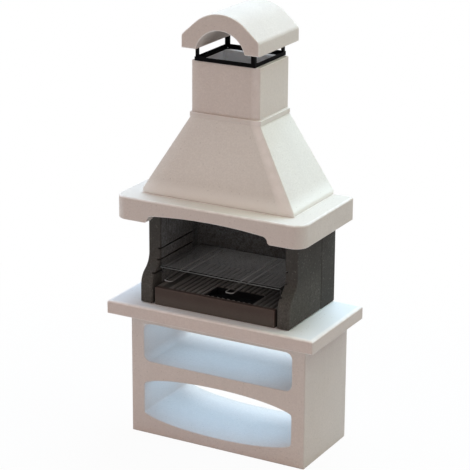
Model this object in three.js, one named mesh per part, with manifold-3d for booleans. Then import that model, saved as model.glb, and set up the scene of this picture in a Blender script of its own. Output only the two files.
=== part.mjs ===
// Outdoor masonry barbecue: a cast base with two open shelves, a worktop, a refractory
// firebox with a sliding grill, a mantel, a pyramid hood, a flue and a raised arched cap.
// Millimetres, +Z up, front towards -Y. The origin lies on the ground, midway between the
// mantel's front face and the flush back faces, and midway between the two sides.

import * as THREE from "three";
import { mergeVertices } from "three/addons/utils/BufferGeometryUtils.js";
import Module from "manifold-3d";

const wasm = await Module();
wasm.setup();

// Clearances shared by every piece
const seatGap = 0.3;
const overrun = 4;
const bedThickness = 3.4;
const bedInset = 8;
const bedRoom = bedThickness + seatGap + seatGap;

// Worktop
const worktopWidth = 1150;
const worktopDepth = 560;
const worktopThickness = 68;
const worktopCorner = 4;
const worktopTopEdge = 11;
const castEdge = 3;

// Overall depth: the mantel stands a little in front of the worktop
const mantelOverhang = 13;
const backY = (worktopDepth + mantelOverhang) / 2;
const worktopFrontY = backY - worktopDepth;

// Base block with its two through openings
const baseSideSetback = 83;
const baseWidth = worktopWidth - 2 * baseSideSetback;
const baseSetback = 96;
const baseCorner = 4;
const baseSideWall = 73;
const footRail = 59;
const lowerOpeningHeight = 267;
const shelfThickness = 71;
const upperOpeningHeight = 203;
const topRail = 53;
const archDrop = 52;
const archEndMargin = 21;
const openingCorner = 12;
const upperOpeningCorner = 38;
const baseBandWidth = 60;

// Firebox of side panels and a rear wall
const fireboxSideSetback = 158;
const fireboxWidth = worktopWidth - 2 * fireboxSideSetback;
const sidePanelThickness = 67;
const chamberWidth = fireboxWidth - 2 * sidePanelThickness;
const fireboxHeight = 440;
const cheekSetback = 66;
const panelSetback = 148;
const cheekHeight = 90;
const cheekCurveHeight = 152;
const panelEdge = 4;
const rearWallWing = 154;
const rearWallInnerWing = 89;
const rearWallThickness = 29;
const rearCornerRadius = 22;
const rearOuterCorner = 6;
const seamChamfer = 4;

// Grooves that hold the grill at three heights above the worktop
const grooveCount = 3;
const lowestGrooveHeight = 147.5;
const groovePitch = 57;
const grooveHeight = 9;
const grooveDepth = 15;

// Hearth bed, its fascia and the ash pan
const hearthSideGap = 15;
const hearthWidth = chamberWidth - 2 * hearthSideGap;
const hearthHeight = 91;
const fasciaThickness = 28;
const fasciaEdge = 3;
const hearthRearGap = 5;
const hearthPlate = 42;
const hearthLeg = 34;
const ribPitch = 29;
const ribGrooveWidth = 17;
const ribGrooveDepth = 7;
const ribFieldMargin = 15;
const troughWidth = 54;
const ribFieldWidth = hearthWidth - 2 * ribFieldMargin - troughWidth - ribGrooveWidth;
const ribCount = 1 + Math.floor(ribFieldWidth / ribPitch);
const troughDepth = 9;
const ashPanWidth = 265;
const ashPanDepth = 140;
const ashPanCentreX = 60;
const ashPanSetback = 34;
const ashPanHeight = 30;
const ashPanWall = 2;
const ashPanFlange = 6;
const ashPanClearance = 1;

// Mantel
const mantelSideSetback = 56.5;
const mantelWidth = worktopWidth - 2 * mantelSideSetback;
const mantelRearStep = 21;
const mantelDepth = worktopDepth + mantelOverhang - mantelRearStep;
const mantelHeight = 118;
const mantelCorner = 67;
const mantelBackCorner = 6;
const mantelTopEdge = 12;
const apronThickness = 62;
const mantelPlate = 38;
const smokeCorner = 15;
const smokeOpeningMargin = 33;
const mantelRearRail = 34;
const apronArchRise = 55;
const apronArchSag = 17;
const shoulderMargin = 47;
const shoulderHalfWidth = chamberWidth / 2 - shoulderMargin;
const shoulderRadius = 30;
const earMargin = 7;
const earHalfWidth = chamberWidth / 2 - earMargin;

// Hood with its collar
const hoodSideSetback = 100.5;
const hoodWidth = mantelWidth - 2 * hoodSideSetback;
const hoodFrontSetback = 94;
const hoodHeight = 419;
const hoodWall = 45;
const hoodSkirt = 20;
const hoodBaseCorner = 22;
const hoodBottomEdge = 7;
const hoodInnerCorner = 12;
const collarHeight = 26;
const collarStep = 9;
const collarCorner = 18;
const collarEdge = 3;

// Flue
const flueWidth = 372;
const flueFrontSetback = 93;
const flueRearSetback = 62;
const flueHeight = 252;
const flueWall = 42;
const flueCorner = 8;
const flueBoreCorner = 18;
const flueTopEdge = 4;

// Steel frame that carries the cap
const angleLeg = 20;
const angleThickness = 3;
const frameSideInset = 22;
const frameOverhang = 7;
const gussetLeg = 52;
const postSocketDepth = 45;
const postSocketClearance = 1;
const anchorRadius = 2.5;
const anchorHoleClearance = 0.4;
const anchorHeadRadius = 4.5;
const anchorHeadHeight = 3;
const anchorLength = 30;
const anchorOffset = 9;

// Cap
const capGap = 68;
const capSideOverhang = 24;
const capWidth = flueWidth + 2 * capSideOverhang;
const capEndOverhang = 56;
const capArcRadius = 205.6;
const capCentreHeight = -22.5;
const capFlankAngle = THREE.MathUtils.degToRad(41.5);
const capBoreRadius = 137;
const capBoreCentreHeight = -36;
const capEdge = 6;
const capSideCorner = 12;

// Grill of round steel rod
const grillSideGap = 16;
const grillWidth = chamberWidth - 2 * grillSideGap;
const grillFrontSetback = 120;
const grillRearGap = 7;
const grillBarRadius = 3.5;
const grillWireRadius = 2;
const grillWirePitch = 13;
const weldDepth = 1;
const grillRise = 35;
const runnerRadius = 3;
const runnerEndInset = 17;
const runnerSideClearance = 3.5;
const runnerLead = 18;
const runnerBend = 7;
const handleRadius = 3;
const handleWidth = 41;
const handleBend = 12;
const handleDip = 7;
const leftHandleMargin = 120;
const rightHandleMargin = 207;

// Faceting
const cornerSteps = 7;
const edgeSteps = 3;
const arcSegments = 18;
const rodSides = 8;
const wireSides = 6;
const bendSteps = 5;
const screwSides = 12;

// Heights of the stacked pieces
const baseHeight = footRail + lowerOpeningHeight + shelfThickness + upperOpeningHeight + topRail;
const worktopZ = baseHeight + bedRoom;
const worktopTopZ = worktopZ + worktopThickness;
const fireboxZ = worktopTopZ + bedRoom;
const fireboxTopZ = fireboxZ + fireboxHeight;
const mantelZ = fireboxTopZ + bedRoom;
const mantelTopZ = mantelZ + mantelHeight;
const hoodZ = mantelTopZ + bedRoom;
const hoodTopZ = hoodZ + hoodHeight;
const flueZ = hoodTopZ + bedRoom;
const flueTopZ = flueZ + flueHeight;
const capZ = flueTopZ + capGap;

// Faces that several pieces share
const baseFrontY = worktopFrontY + baseSetback;
const fireboxHalf = fireboxWidth / 2;
const chamberHalf = chamberWidth / 2;
const cheekY = worktopFrontY + cheekSetback;
const panelY = worktopFrontY + panelSetback;
const lapY = backY - rearWallWing;
const innerLapY = backY - rearWallInnerWing;
const chamberBackY = backY - rearWallThickness;
const mantelFrontY = worktopFrontY - mantelOverhang;
const mantelBackY = mantelFrontY + mantelDepth;
const hoodFrontY = mantelFrontY + hoodFrontSetback;
const flueFrontY = hoodFrontY + flueFrontSetback;
const flueBackY = mantelBackY - flueRearSetback;
const flueHalf = flueWidth / 2;

// Materials
function finish(color, roughness, metalness) {
  return new THREE.MeshStandardMaterial({ color, roughness, metalness });
}
const paleConcrete = () => finish(0xe4ded6, 0.92, 0);
const adhesiveMortar = () => finish(0xb9b3aa, 0.95, 0);
const refractory = () => finish(0x3f3d3a, 0.95, 0);
const hearthStone = () => finish(0x37342f, 0.9, 0);
const fasciaStone = () => finish(0x3e302d, 0.8, 0);
const blackSteel = () => finish(0x101011, 0.55, 0.6);
const zincSteel = () => finish(0x9fa2a5, 0.45, 0.9);
const bareWire = () => finish(0xb8bab8, 0.35, 0.95);

// Solids from three.js geometry, for joining and cutting
function toSolid(geometry) {
  const plain = geometry.clone();
  plain.deleteAttribute("normal");
  plain.deleteAttribute("uv");
  const merged = mergeVertices(plain);
  const vertProperties = new Float32Array(merged.attributes.position.array);
  const triVerts = new Uint32Array(merged.index.array);
  return new wasm.Manifold(new wasm.Mesh({ numProp: 3, vertProperties, triVerts }));
}

function joined(solids) {
  return solids.reduce((whole, piece) => whole.add(piece));
}

function cut(solid, cutters) {
  return cutters.reduce((left, cutter) => left.subtract(cutter), solid);
}

function piece(name, solid, material) {
  const shape = solid.getMesh();
  const geometry = new THREE.BufferGeometry();
  geometry.setAttribute("position", new THREE.BufferAttribute(shape.vertProperties, 3));
  geometry.setIndex(new THREE.BufferAttribute(shape.triVerts, 1));
  geometry.computeVertexNormals();
  const mesh = new THREE.Mesh(geometry, material);
  mesh.name = name;
  return mesh;
}

// Shape helpers. A box is given by its low and high corners.
function box(low, high) {
  const size = high.map((value, axis) => value - low[axis]);
  const centre = high.map((value, axis) => (value + low[axis]) / 2);
  return toSolid(new THREE.BoxGeometry(...size).translate(...centre));
}

// A shape drawn in (x, y), raised from z = bottom.
function raise(shape, bottom, height, options = {}) {
  const settings = { depth: height, bevelEnabled: false, curveSegments: arcSegments, ...options };
  return toSolid(new THREE.ExtrudeGeometry(shape, settings).translate(0, 0, bottom));
}

// A shape drawn in (x, z), carried from the back face forwards.
function carryForward(shape, rearY, depth, options = {}) {
  const settings = { depth, bevelEnabled: false, curveSegments: arcSegments, ...options };
  const upright = new THREE.Matrix4().makeBasis(
    new THREE.Vector3(1, 0, 0), new THREE.Vector3(0, 0, 1), new THREE.Vector3(0, -1, 0));
  return toSolid(new THREE.ExtrudeGeometry(shape, settings).applyMatrix4(upright).translate(0, rearY, 0));
}

// A shape drawn in (y, z), carried from x = left towards +X.
function carryAcross(shape, left, width, options = {}) {
  const settings = { depth: width, bevelEnabled: false, curveSegments: arcSegments, ...options };
  const across = new THREE.Matrix4().makeBasis(
    new THREE.Vector3(0, 1, 0), new THREE.Vector3(0, 0, 1), new THREE.Vector3(1, 0, 0));
  return toSolid(new THREE.ExtrudeGeometry(shape, settings).applyMatrix4(across).translate(left, 0, 0));
}

function outline(points) {
  return new THREE.Shape(points.map(([u, v]) => new THREE.Vector2(u, v)));
}

// Bevel settings that keep the outline's own size.
function softened(edge, segments = 1) {
  return {
    bevelEnabled: true, bevelSize: edge, bevelThickness: edge, bevelOffset: -edge, bevelSegments: segments,
  };
}

// One level ring of a block: a rectangle with round corners, counter-clockwise from above.
function ringPoints(ring) {
  const corners = [
    [ring.halfWidth, ring.backY, ring.backCorner, 0],
    [-ring.halfWidth, ring.backY, ring.backCorner, 1],
    [-ring.halfWidth, ring.frontY, ring.frontCorner, 2],
    [ring.halfWidth, ring.frontY, ring.frontCorner, 3],
  ];
  return corners.flatMap(([x, y, radius, quarter]) => {
    const centreX = x - Math.sign(x) * radius;
    const centreY = quarter < 2 ? y - radius : y + radius;
    return Array.from({ length: cornerSteps + 1 }, (_, step) => {
      const angle = (quarter + step / cornerSteps) * Math.PI / 2;
      return [centreX + radius * Math.cos(angle), centreY + radius * Math.sin(angle), ring.z];
    });
  });
}

// A closed solid through a stack of rings, from the lowest to the highest.
function stack(rings) {
  const levels = rings.map(ringPoints);
  const count = levels[0].length;
  const positions = levels.flat(2);
  const faces = [];
  for (let level = 0; level + 1 < levels.length; level += 1) {
    for (let i = 0; i < count; i += 1) {
      const a = level * count + i;
      const b = level * count + (i + 1) % count;
      faces.push(a, b, b + count, a, b + count, a + count);
    }
  }
  const top = (levels.length - 1) * count;
  for (let i = 1; i + 1 < count; i += 1) {
    faces.push(0, i + 1, i, top, top + i, top + i + 1);
  }
  const geometry = new THREE.BufferGeometry();
  geometry.setAttribute("position", new THREE.Float32BufferAttribute(positions, 3));
  geometry.setIndex(faces);
  return toSolid(geometry);
}

function inset(ring, amount, z) {
  return {
    halfWidth: ring.halfWidth - amount,
    frontY: ring.frontY + amount,
    backY: ring.backY - amount,
    frontCorner: Math.max(ring.frontCorner - amount, ring.frontCorner / 2),
    backCorner: Math.max(ring.backCorner - amount, ring.backCorner / 2),
    z,
  };
}

// Rings that round the bottom or the top edge of a block by a quarter circle.
function edgeRings(ring, edge, isTop) {
  return Array.from({ length: edgeSteps + 1 }, (_, index) => {
    const angle = (isTop ? index : edgeSteps - index) / edgeSteps * Math.PI / 2;
    const amount = edge * (1 - Math.cos(angle));
    const lift = edge * (1 - Math.sin(angle));
    return inset(ring, amount, isTop ? ring.z - lift : ring.z + lift);
  });
}

// A block with the given plan, its bottom and top edges rounded where an edge radius is given.
function roundedBlock(footprint, bottom, top, bottomEdge, topEdge) {
  const lowRing = { ...footprint, z: bottom };
  const highRing = { ...footprint, z: top };
  const low = bottomEdge > 0 ? edgeRings(lowRing, bottomEdge, false) : [lowRing];
  const high = topEdge > 0 ? edgeRings(highRing, topEdge, true) : [highRing];
  return stack([...low, ...high]);
}

// A plan: its width about the middle, its front and back faces, and its corner radii.
function plan(width, frontY, rearY, frontCorner, backCorner = frontCorner) {
  return { halfWidth: width / 2, frontY, backY: rearY, frontCorner, backCorner };
}

// A level frame of adhesive mortar: a rectangle with a rectangle cut out of it.
function bedFrame(outerPlan, innerPlan, bottom) {
  const outer = roundedBlock(outerPlan, bottom + seatGap, bottom + seatGap + bedThickness, 0, 0);
  const inner = roundedBlock(innerPlan, bottom - overrun, bottom + bedRoom + overrun, 0, 0);
  return outer.subtract(inner);
}

// Round rod through corner points, each corner bent to an arc.
class RodPath extends THREE.Curve {
  constructor(points) {
    super();
    this.points = points;
  }

  indexAt(share) {
    return Math.round(share * (this.points.length - 1));
  }

  getPointAt(share) {
    return this.points[this.indexAt(share)].clone();
  }

  getTangentAt(share) {
    const index = this.indexAt(share);
    const before = this.points[Math.max(index - 1, 0)];
    const after = this.points[Math.min(index + 1, this.points.length - 1)];
    return after.clone().sub(before).normalize();
  }
}

function bentPoints(corners, bendRadius) {
  const points = corners.map((corner) => new THREE.Vector3(...corner));
  const path = [points[0]];
  for (let i = 1; i + 1 < points.length; i += 1) {
    const into = points[i].clone().sub(points[i - 1]).normalize();
    const out = points[i + 1].clone().sub(points[i]).normalize();
    const turn = into.angleTo(out);
    const reach = bendRadius * Math.tan(turn / 2);
    const start = points[i].clone().addScaledVector(into, -reach);
    const inward = out.clone().addScaledVector(into, -out.dot(into)).normalize();
    for (let step = 0; step <= bendSteps; step += 1) {
      const angle = turn * step / bendSteps;
      const along = bendRadius * Math.sin(angle);
      const aside = bendRadius * (1 - Math.cos(angle));
      path.push(start.clone().addScaledVector(into, along).addScaledVector(inward, aside));
    }
  }
  path.push(points[points.length - 1]);
  return path;
}

function circleShape(radius, sides) {
  return outline(Array.from({ length: sides }, (_, side) => {
    const angle = (side + 0.5) / sides * 2 * Math.PI;
    const vertexRadius = radius / Math.cos(Math.PI / sides);
    return [vertexRadius * Math.cos(angle), vertexRadius * Math.sin(angle)];
  }));
}

function rod(corners, radius, bendRadius, sides = rodSides) {
  const points = corners.length > 2
    ? bentPoints(corners, bendRadius)
    : corners.map((corner) => new THREE.Vector3(...corner));
  const settings = { steps: points.length - 1, bevelEnabled: false, extrudePath: new RodPath(points) };
  return toSolid(new THREE.ExtrudeGeometry(circleShape(radius, sides), settings));
}

// Base
function lowerOpening() {
  const half = baseWidth / 2 - baseSideWall;
  const reach = half + archEndMargin;
  const rise = archDrop / (1 - Math.sqrt(1 - (half / reach) ** 2));
  const floorZ = footRail;
  const ceilingZ = footRail + lowerOpeningHeight;
  const endAngle = Math.acos((half - openingCorner) / reach);
  const shape = new THREE.Shape();
  shape.moveTo(-half, floorZ + archDrop + openingCorner);
  const bottomArc = rise * (1 - Math.sin(endAngle));
  shape.quadraticCurveTo(-half, floorZ + archDrop, openingCorner - half, floorZ + bottomArc);
  shape.absellipse(0, floorZ + rise, reach, rise, Math.PI + endAngle, -endAngle, false, 0);
  shape.quadraticCurveTo(half, floorZ + archDrop, half, floorZ + archDrop + openingCorner);
  shape.lineTo(half, ceilingZ - archDrop - openingCorner);
  shape.quadraticCurveTo(half, ceilingZ - archDrop, half - openingCorner, ceilingZ - bottomArc);
  shape.absellipse(0, ceilingZ - rise, reach, rise, endAngle, Math.PI - endAngle, false, 0);
  shape.quadraticCurveTo(-half, ceilingZ - archDrop, -half, ceilingZ - archDrop - openingCorner);
  return shape;
}

function upperOpening() {
  const half = baseWidth / 2 - baseSideWall;
  const low = footRail + lowerOpeningHeight + shelfThickness;
  const high = low + upperOpeningHeight;
  const corner = upperOpeningCorner;
  const quarter = Math.PI / 2;
  const shape = new THREE.Shape();
  shape.absarc(half - corner, low + corner, corner, -quarter, 0, false);
  shape.absarc(half - corner, high - corner, corner, 0, quarter, false);
  shape.absarc(corner - half, high - corner, corner, quarter, Math.PI, false);
  shape.absarc(corner - half, low + corner, corner, Math.PI, 3 * quarter, false);
  return shape;
}

function baseBlock() {
  const footprint = plan(baseWidth, baseFrontY, backY, baseCorner, castEdge);
  const block = roundedBlock(footprint, 0, baseHeight, 0, castEdge);
  const throughDepth = backY - baseFrontY + overrun + overrun;
  const openings = [lowerOpening(), upperOpening()].map(
    (shape) => carryForward(shape, backY + overrun, throughDepth));
  return piece("base_block", cut(block, openings), paleConcrete());
}

function baseBed() {
  const outer = plan(baseWidth - 2 * bedInset, baseFrontY + bedInset, backY - bedInset, bedInset);
  const inner = plan(
    baseWidth - 2 * baseBandWidth, baseFrontY + baseBandWidth, backY - baseBandWidth, bedInset);
  return piece("base_adhesive_bed", bedFrame(outer, inner, baseHeight), adhesiveMortar());
}

function worktopSlab() {
  const footprint = plan(worktopWidth, worktopFrontY, backY, worktopCorner);
  const slab = roundedBlock(footprint, worktopZ, worktopTopZ, castEdge, worktopTopEdge);
  return piece("worktop_slab", slab, paleConcrete());
}

// Firebox
function cheekOutline() {
  const setBack = panelY - cheekY;
  const radius = (setBack ** 2 + cheekCurveHeight ** 2) / (4 * setBack);
  const sweep = 2 * Math.atan(setBack / cheekCurveHeight);
  const low = worktopTopZ + cheekHeight;
  const high = low + cheekCurveHeight;
  const shape = new THREE.Shape();
  shape.moveTo(backY, fireboxZ);
  shape.lineTo(cheekY, fireboxZ);
  shape.absarc(cheekY + radius, low, radius, Math.PI, Math.PI - sweep, true);
  shape.absarc(panelY - radius, high, radius, -sweep, 0, false);
  shape.lineTo(panelY, fireboxTopZ);
  shape.lineTo(backY, fireboxTopZ);
  return shape;
}

function sidePanel(name, side) {
  const left = side > 0 ? chamberHalf : -fireboxHalf;
  const bevel = softened(panelEdge);
  const cheek = carryAcross(
    cheekOutline(), left + panelEdge, sidePanelThickness - 2 * panelEdge, bevel);
  const lapHalf = fireboxHalf - sidePanelThickness / 2 - seatGap / 2;
  const lap = outline([
    [side * chamberHalf - side * overrun, cheekY - overrun],
    [side * fireboxHalf + side * overrun, cheekY - overrun],
    [side * fireboxHalf + side * overrun, lapY - seamChamfer - overrun],
    [side * (fireboxHalf - seamChamfer), lapY],
    [side * lapHalf, lapY],
    [side * lapHalf, innerLapY],
    [side * chamberHalf - side * overrun, innerLapY],
  ]);
  const trimmed = cheek.intersect(raise(lap, fireboxZ - overrun, fireboxHeight + 2 * overrun));
  const grooves = Array.from({ length: grooveCount }, (_, level) => {
    const low = worktopTopZ + lowestGrooveHeight + level * groovePitch;
    const near = side * (chamberHalf - overrun);
    const far = side * (chamberHalf + grooveDepth);
    return box(
      [Math.min(near, far), cheekY - overrun, low],
      [Math.max(near, far), innerLapY + overrun, low + grooveHeight]);
  });
  return piece(name, cut(trimmed, grooves), refractory());
}

function rearWall() {
  const lapHalf = fireboxHalf - sidePanelThickness / 2 + seatGap / 2;
  const seamY = lapY + seatGap;
  const innerSeamY = innerLapY + seatGap;
  const quarter = Math.PI / 2;
  const shape = new THREE.Shape();
  shape.moveTo(fireboxHalf - seamChamfer, seamY);
  shape.lineTo(fireboxHalf, seamY + seamChamfer);
  const outerX = fireboxHalf - rearOuterCorner;
  const outerY = backY - rearOuterCorner;
  shape.absarc(outerX, outerY, rearOuterCorner, 0, quarter, false);
  shape.absarc(-outerX, outerY, rearOuterCorner, quarter, Math.PI, false);
  shape.lineTo(-fireboxHalf, seamY + seamChamfer);
  shape.lineTo(seamChamfer - fireboxHalf, seamY);
  shape.lineTo(-lapHalf, seamY);
  shape.lineTo(-lapHalf, innerSeamY);
  shape.lineTo(-chamberHalf, innerSeamY);
  const cornerX = chamberHalf - rearCornerRadius;
  const cornerY = chamberBackY - rearCornerRadius;
  shape.absarc(-cornerX, cornerY, rearCornerRadius, Math.PI, quarter, true);
  shape.absarc(cornerX, cornerY, rearCornerRadius, quarter, 0, true);
  shape.lineTo(chamberHalf, innerSeamY);
  shape.lineTo(lapHalf, innerSeamY);
  shape.lineTo(lapHalf, seamY);
  return piece("rear_wall", raise(shape, fireboxZ, fireboxHeight), refractory());
}

function fireboxBed() {
  const outerX = fireboxHalf - bedInset;
  const innerX = chamberHalf + bedInset;
  const frontY = cheekY + bedInset;
  const rearY = backY - bedInset;
  const shape = outline([
    [-outerX, frontY], [-innerX, frontY], [-innerX, chamberBackY + bedInset],
    [innerX, chamberBackY + bedInset], [innerX, frontY], [outerX, frontY], [outerX, rearY], [-outerX, rearY],
  ]);
  const bed = raise(shape, worktopTopZ + seatGap, bedThickness);
  return piece("firebox_adhesive_bed", bed, adhesiveMortar());
}

function mantelBed(name, side) {
  const near = side * (chamberHalf + bedInset);
  const far = side * (fireboxHalf - bedInset);
  const low = fireboxTopZ + seatGap;
  const strip = box(
    [Math.min(near, far), panelY + bedInset, low],
    [Math.max(near, far), mantelBackY - bedInset, low + bedThickness]);
  return piece(name, strip, adhesiveMortar());
}

// Hearth
const hearthZ = worktopTopZ + seatGap;
const hearthTopZ = worktopTopZ + hearthHeight;
const hearthHalf = hearthWidth / 2;
const fasciaBackY = cheekY + fasciaThickness;
const bedFrontY = fasciaBackY + seatGap;
const bedBackY = chamberBackY - hearthRearGap;
const panLeftX = ashPanCentreX - ashPanWidth / 2;
const panRightX = ashPanCentreX + ashPanWidth / 2;
const panFrontY = cheekY + ashPanSetback;
const panBackY = panFrontY + ashPanDepth;

// The bed's cross-section: round-bottomed grooves between ribs, and a trough on the left.
function ribbedOutline() {
  const plateZ = hearthTopZ - hearthPlate;
  const shape = new THREE.Shape();
  shape.moveTo(-hearthHalf, hearthZ);
  shape.lineTo(hearthLeg - hearthHalf, hearthZ);
  shape.lineTo(hearthLeg - hearthHalf, plateZ);
  shape.lineTo(hearthHalf - hearthLeg, plateZ);
  shape.lineTo(hearthHalf - hearthLeg, hearthZ);
  shape.lineTo(hearthHalf, hearthZ);
  shape.lineTo(hearthHalf, hearthTopZ);
  const lastGrooveX = hearthHalf - ribFieldMargin - ribGrooveWidth / 2;
  for (let index = 0; index < ribCount; index += 1) {
    const centreX = lastGrooveX - index * ribPitch;
    shape.lineTo(centreX + ribGrooveWidth / 2, hearthTopZ);
    shape.quadraticCurveTo(
      centreX, hearthTopZ - 2 * ribGrooveDepth, centreX - ribGrooveWidth / 2, hearthTopZ);
  }
  const troughX = ribFieldMargin - hearthHalf;
  shape.lineTo(troughX + troughWidth, hearthTopZ);
  shape.quadraticCurveTo(troughX + troughWidth / 2, hearthTopZ - 2 * troughDepth, troughX, hearthTopZ);
  shape.lineTo(-hearthHalf, hearthTopZ);
  return shape;
}

function hearthBed() {
  const body = carryForward(ribbedOutline(), bedBackY, bedBackY - bedFrontY, { curveSegments: edgeSteps });
  const plateZ = hearthTopZ - hearthPlate;
  const rearLeg = box(
    [hearthLeg - hearthHalf - overrun, bedBackY - hearthLeg, hearthZ],
    [hearthHalf - hearthLeg + overrun, bedBackY, plateZ + overrun]);
  const gap = ashPanClearance;
  const well = box(
    [panLeftX + ashPanFlange - gap, panFrontY + ashPanFlange - gap, plateZ - overrun],
    [panRightX - ashPanFlange + gap, panBackY - ashPanFlange + gap, hearthTopZ + overrun]);
  const rebate = box(
    [panLeftX - gap, panFrontY - gap, hearthTopZ - ribGrooveDepth - ashPanWall - seatGap],
    [panRightX + gap, panBackY + gap, hearthTopZ + overrun]);
  return piece("hearth_bed", cut(body.add(rearLeg), [well, rebate]), hearthStone());
}

function hearthFascia() {
  const inner = softened(fasciaEdge);
  const half = hearthHalf;
  const shape = outline([[-half, hearthZ], [half, hearthZ], [half, hearthTopZ], [-half, hearthTopZ]]);
  const slab = carryForward(shape, fasciaBackY - fasciaEdge, fasciaThickness - 2 * fasciaEdge, inner);
  return piece("hearth_fascia", slab, fasciaStone());
}

function ashPan() {
  const rimZ = hearthTopZ - ribGrooveDepth - ashPanWall;
  const rim = box([panLeftX, panFrontY, rimZ], [panRightX, panBackY, rimZ + ashPanWall]);
  const lowZ = rimZ + ashPanWall - ashPanHeight;
  const tub = box(
    [panLeftX + ashPanFlange, panFrontY + ashPanFlange, lowZ],
    [panRightX - ashPanFlange, panBackY - ashPanFlange, rimZ + ashPanWall]);
  const inside = ashPanFlange + ashPanWall;
  const hollow = box(
    [panLeftX + inside, panFrontY + inside, lowZ + ashPanWall],
    [panRightX - inside, panBackY - inside, rimZ + overrun]);
  return piece("ash_pan", rim.add(tub).subtract(hollow), blackSteel());
}

// Mantel
function apronArch() {
  const shape = new THREE.Shape();
  const archRadius = (shoulderHalfWidth ** 2 + apronArchSag ** 2) / (2 * apronArchSag);
  const sweep = Math.asin(shoulderHalfWidth / archRadius);
  const centreZ = mantelZ + apronArchRise - archRadius;
  const shoulderZ = mantelZ + apronArchRise - apronArchSag - shoulderRadius;
  const quarter = Math.PI / 2;
  shape.moveTo(-earHalfWidth, mantelZ - overrun);
  shape.lineTo(earHalfWidth, mantelZ - overrun);
  shape.lineTo(earHalfWidth, mantelZ);
  shape.absarc(shoulderHalfWidth, shoulderZ, shoulderRadius, 0, quarter, false);
  shape.absarc(0, centreZ, archRadius, quarter - sweep, quarter + sweep, false);
  shape.absarc(-shoulderHalfWidth, shoulderZ, shoulderRadius, quarter, Math.PI, false);
  shape.lineTo(-earHalfWidth, mantelZ);
  return shape;
}

function mantel() {
  const outer = roundedBlock(
    plan(mantelWidth, mantelFrontY, mantelBackY, mantelCorner, mantelBackCorner),
    mantelZ, mantelTopZ, castEdge, mantelTopEdge);
  const cavityFrontY = mantelFrontY + apronThickness;
  const cavityBackY = mantelBackY - mantelRearRail;
  const plateZ = mantelTopZ - mantelPlate;
  const cavity = roundedBlock(
    plan(2 * chamberHalf, cavityFrontY, cavityBackY, smokeCorner), mantelZ - overrun, plateZ, 0, 0);
  const smokeFrontY = hoodFrontY + hoodWall;
  const smokeBackY = mantelBackY - hoodWall;
  const smoke = roundedBlock(
    plan(hoodWidth - 2 * (hoodWall + smokeOpeningMargin), smokeFrontY, smokeBackY, smokeCorner),
    plateZ - overrun, mantelTopZ + overrun, 0, 0);
  const arch = carryForward(apronArch(), cavityFrontY + overrun, apronThickness + 2 * overrun);
  return piece("mantel", cut(outer, [cavity, smoke, arch]), paleConcrete());
}

// Hood
const hoodOuter = plan(hoodWidth, hoodFrontY, mantelBackY, hoodBaseCorner);
const collarOuter = plan(
  flueWidth + 2 * collarStep, flueFrontY - collarStep, flueBackY + collarStep, collarCorner);
const hoodInner = plan(
  hoodWidth - 2 * hoodWall, hoodFrontY + hoodWall, mantelBackY - hoodWall, hoodInnerCorner);
const flueBore = plan(
  flueWidth - 2 * flueWall, flueFrontY + flueWall, flueBackY - flueWall, flueBoreCorner);

function hoodBed() {
  const outer = inset(hoodOuter, bedInset, 0);
  const inner = { ...inset(hoodInner, -bedInset, 0), frontCorner: bedInset, backCorner: bedInset };
  return piece("hood_adhesive_bed", bedFrame(outer, inner, mantelTopZ), adhesiveMortar());
}

function hood() {
  const shoulderZ = hoodTopZ - collarHeight;
  const outer = stack([
    ...edgeRings({ ...hoodOuter, z: hoodZ }, hoodBottomEdge, false),
    { ...hoodOuter, z: hoodZ + hoodSkirt },
    { ...collarOuter, z: shoulderZ },
    ...edgeRings({ ...collarOuter, z: hoodTopZ }, collarEdge, true),
  ]);
  const inner = stack([
    { ...hoodInner, z: hoodZ - overrun },
    { ...hoodInner, z: hoodZ + hoodSkirt },
    { ...flueBore, z: shoulderZ },
    { ...flueBore, z: hoodTopZ + overrun },
  ]);
  return piece("hood", outer.subtract(inner), paleConcrete());
}

// Flue
const flueOuter = plan(flueWidth, flueFrontY, flueBackY, flueCorner);

function flueBed() {
  const outer = inset(flueOuter, bedInset, 0);
  const inner = inset(flueBore, -bedInset, 0);
  return piece("flue_adhesive_bed", bedFrame(outer, inner, hoodTopZ), adhesiveMortar());
}

// Steel frame of the cap
const frameZ = flueTopZ + seatGap;
const frameHalf = flueHalf - frameSideInset;
const frameFrontY = flueFrontY - frameOverhang;
const frameBackY = flueBackY + frameOverhang;
const postFoot = angleThickness + seatGap;
const anchorInset = postFoot + angleThickness + anchorOffset;
const cornerSigns = [
  ["front_left", -1, -1], ["front_right", 1, -1], ["rear_left", -1, 1], ["rear_right", 1, 1],
];

// The place that lies a given distance inside the frame's corner, along both sides.
function frameCorner(sideX, sideY, distance) {
  const x = sideX * (frameHalf - distance);
  const y = sideY < 0 ? frameFrontY + distance : frameBackY - distance;
  return [x, y];
}

function anchors() {
  return cornerSigns.map(([, sideX, sideY]) => frameCorner(sideX, sideY, anchorInset));
}

function uprightCylinder(x, y, radius, bottom, top) {
  const height = top - bottom;
  const cylinder = new THREE.CylinderGeometry(radius, radius, height, screwSides);
  return toSolid(cylinder.rotateX(Math.PI / 2).translate(x, y, bottom + height / 2));
}

function flue() {
  const outer = roundedBlock(flueOuter, flueZ, flueTopZ, 0, flueTopEdge);
  const bore = roundedBlock(flueBore, flueZ - overrun, flueTopZ + overrun, 0, 0);
  const holeRadius = anchorRadius + anchorHoleClearance;
  const holes = anchors().map(
    ([x, y]) => uprightCylinder(x, y, holeRadius, flueTopZ - anchorLength - overrun, flueTopZ + overrun));
  return piece("flue", cut(outer, [bore, ...holes]), paleConcrete());
}

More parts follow.
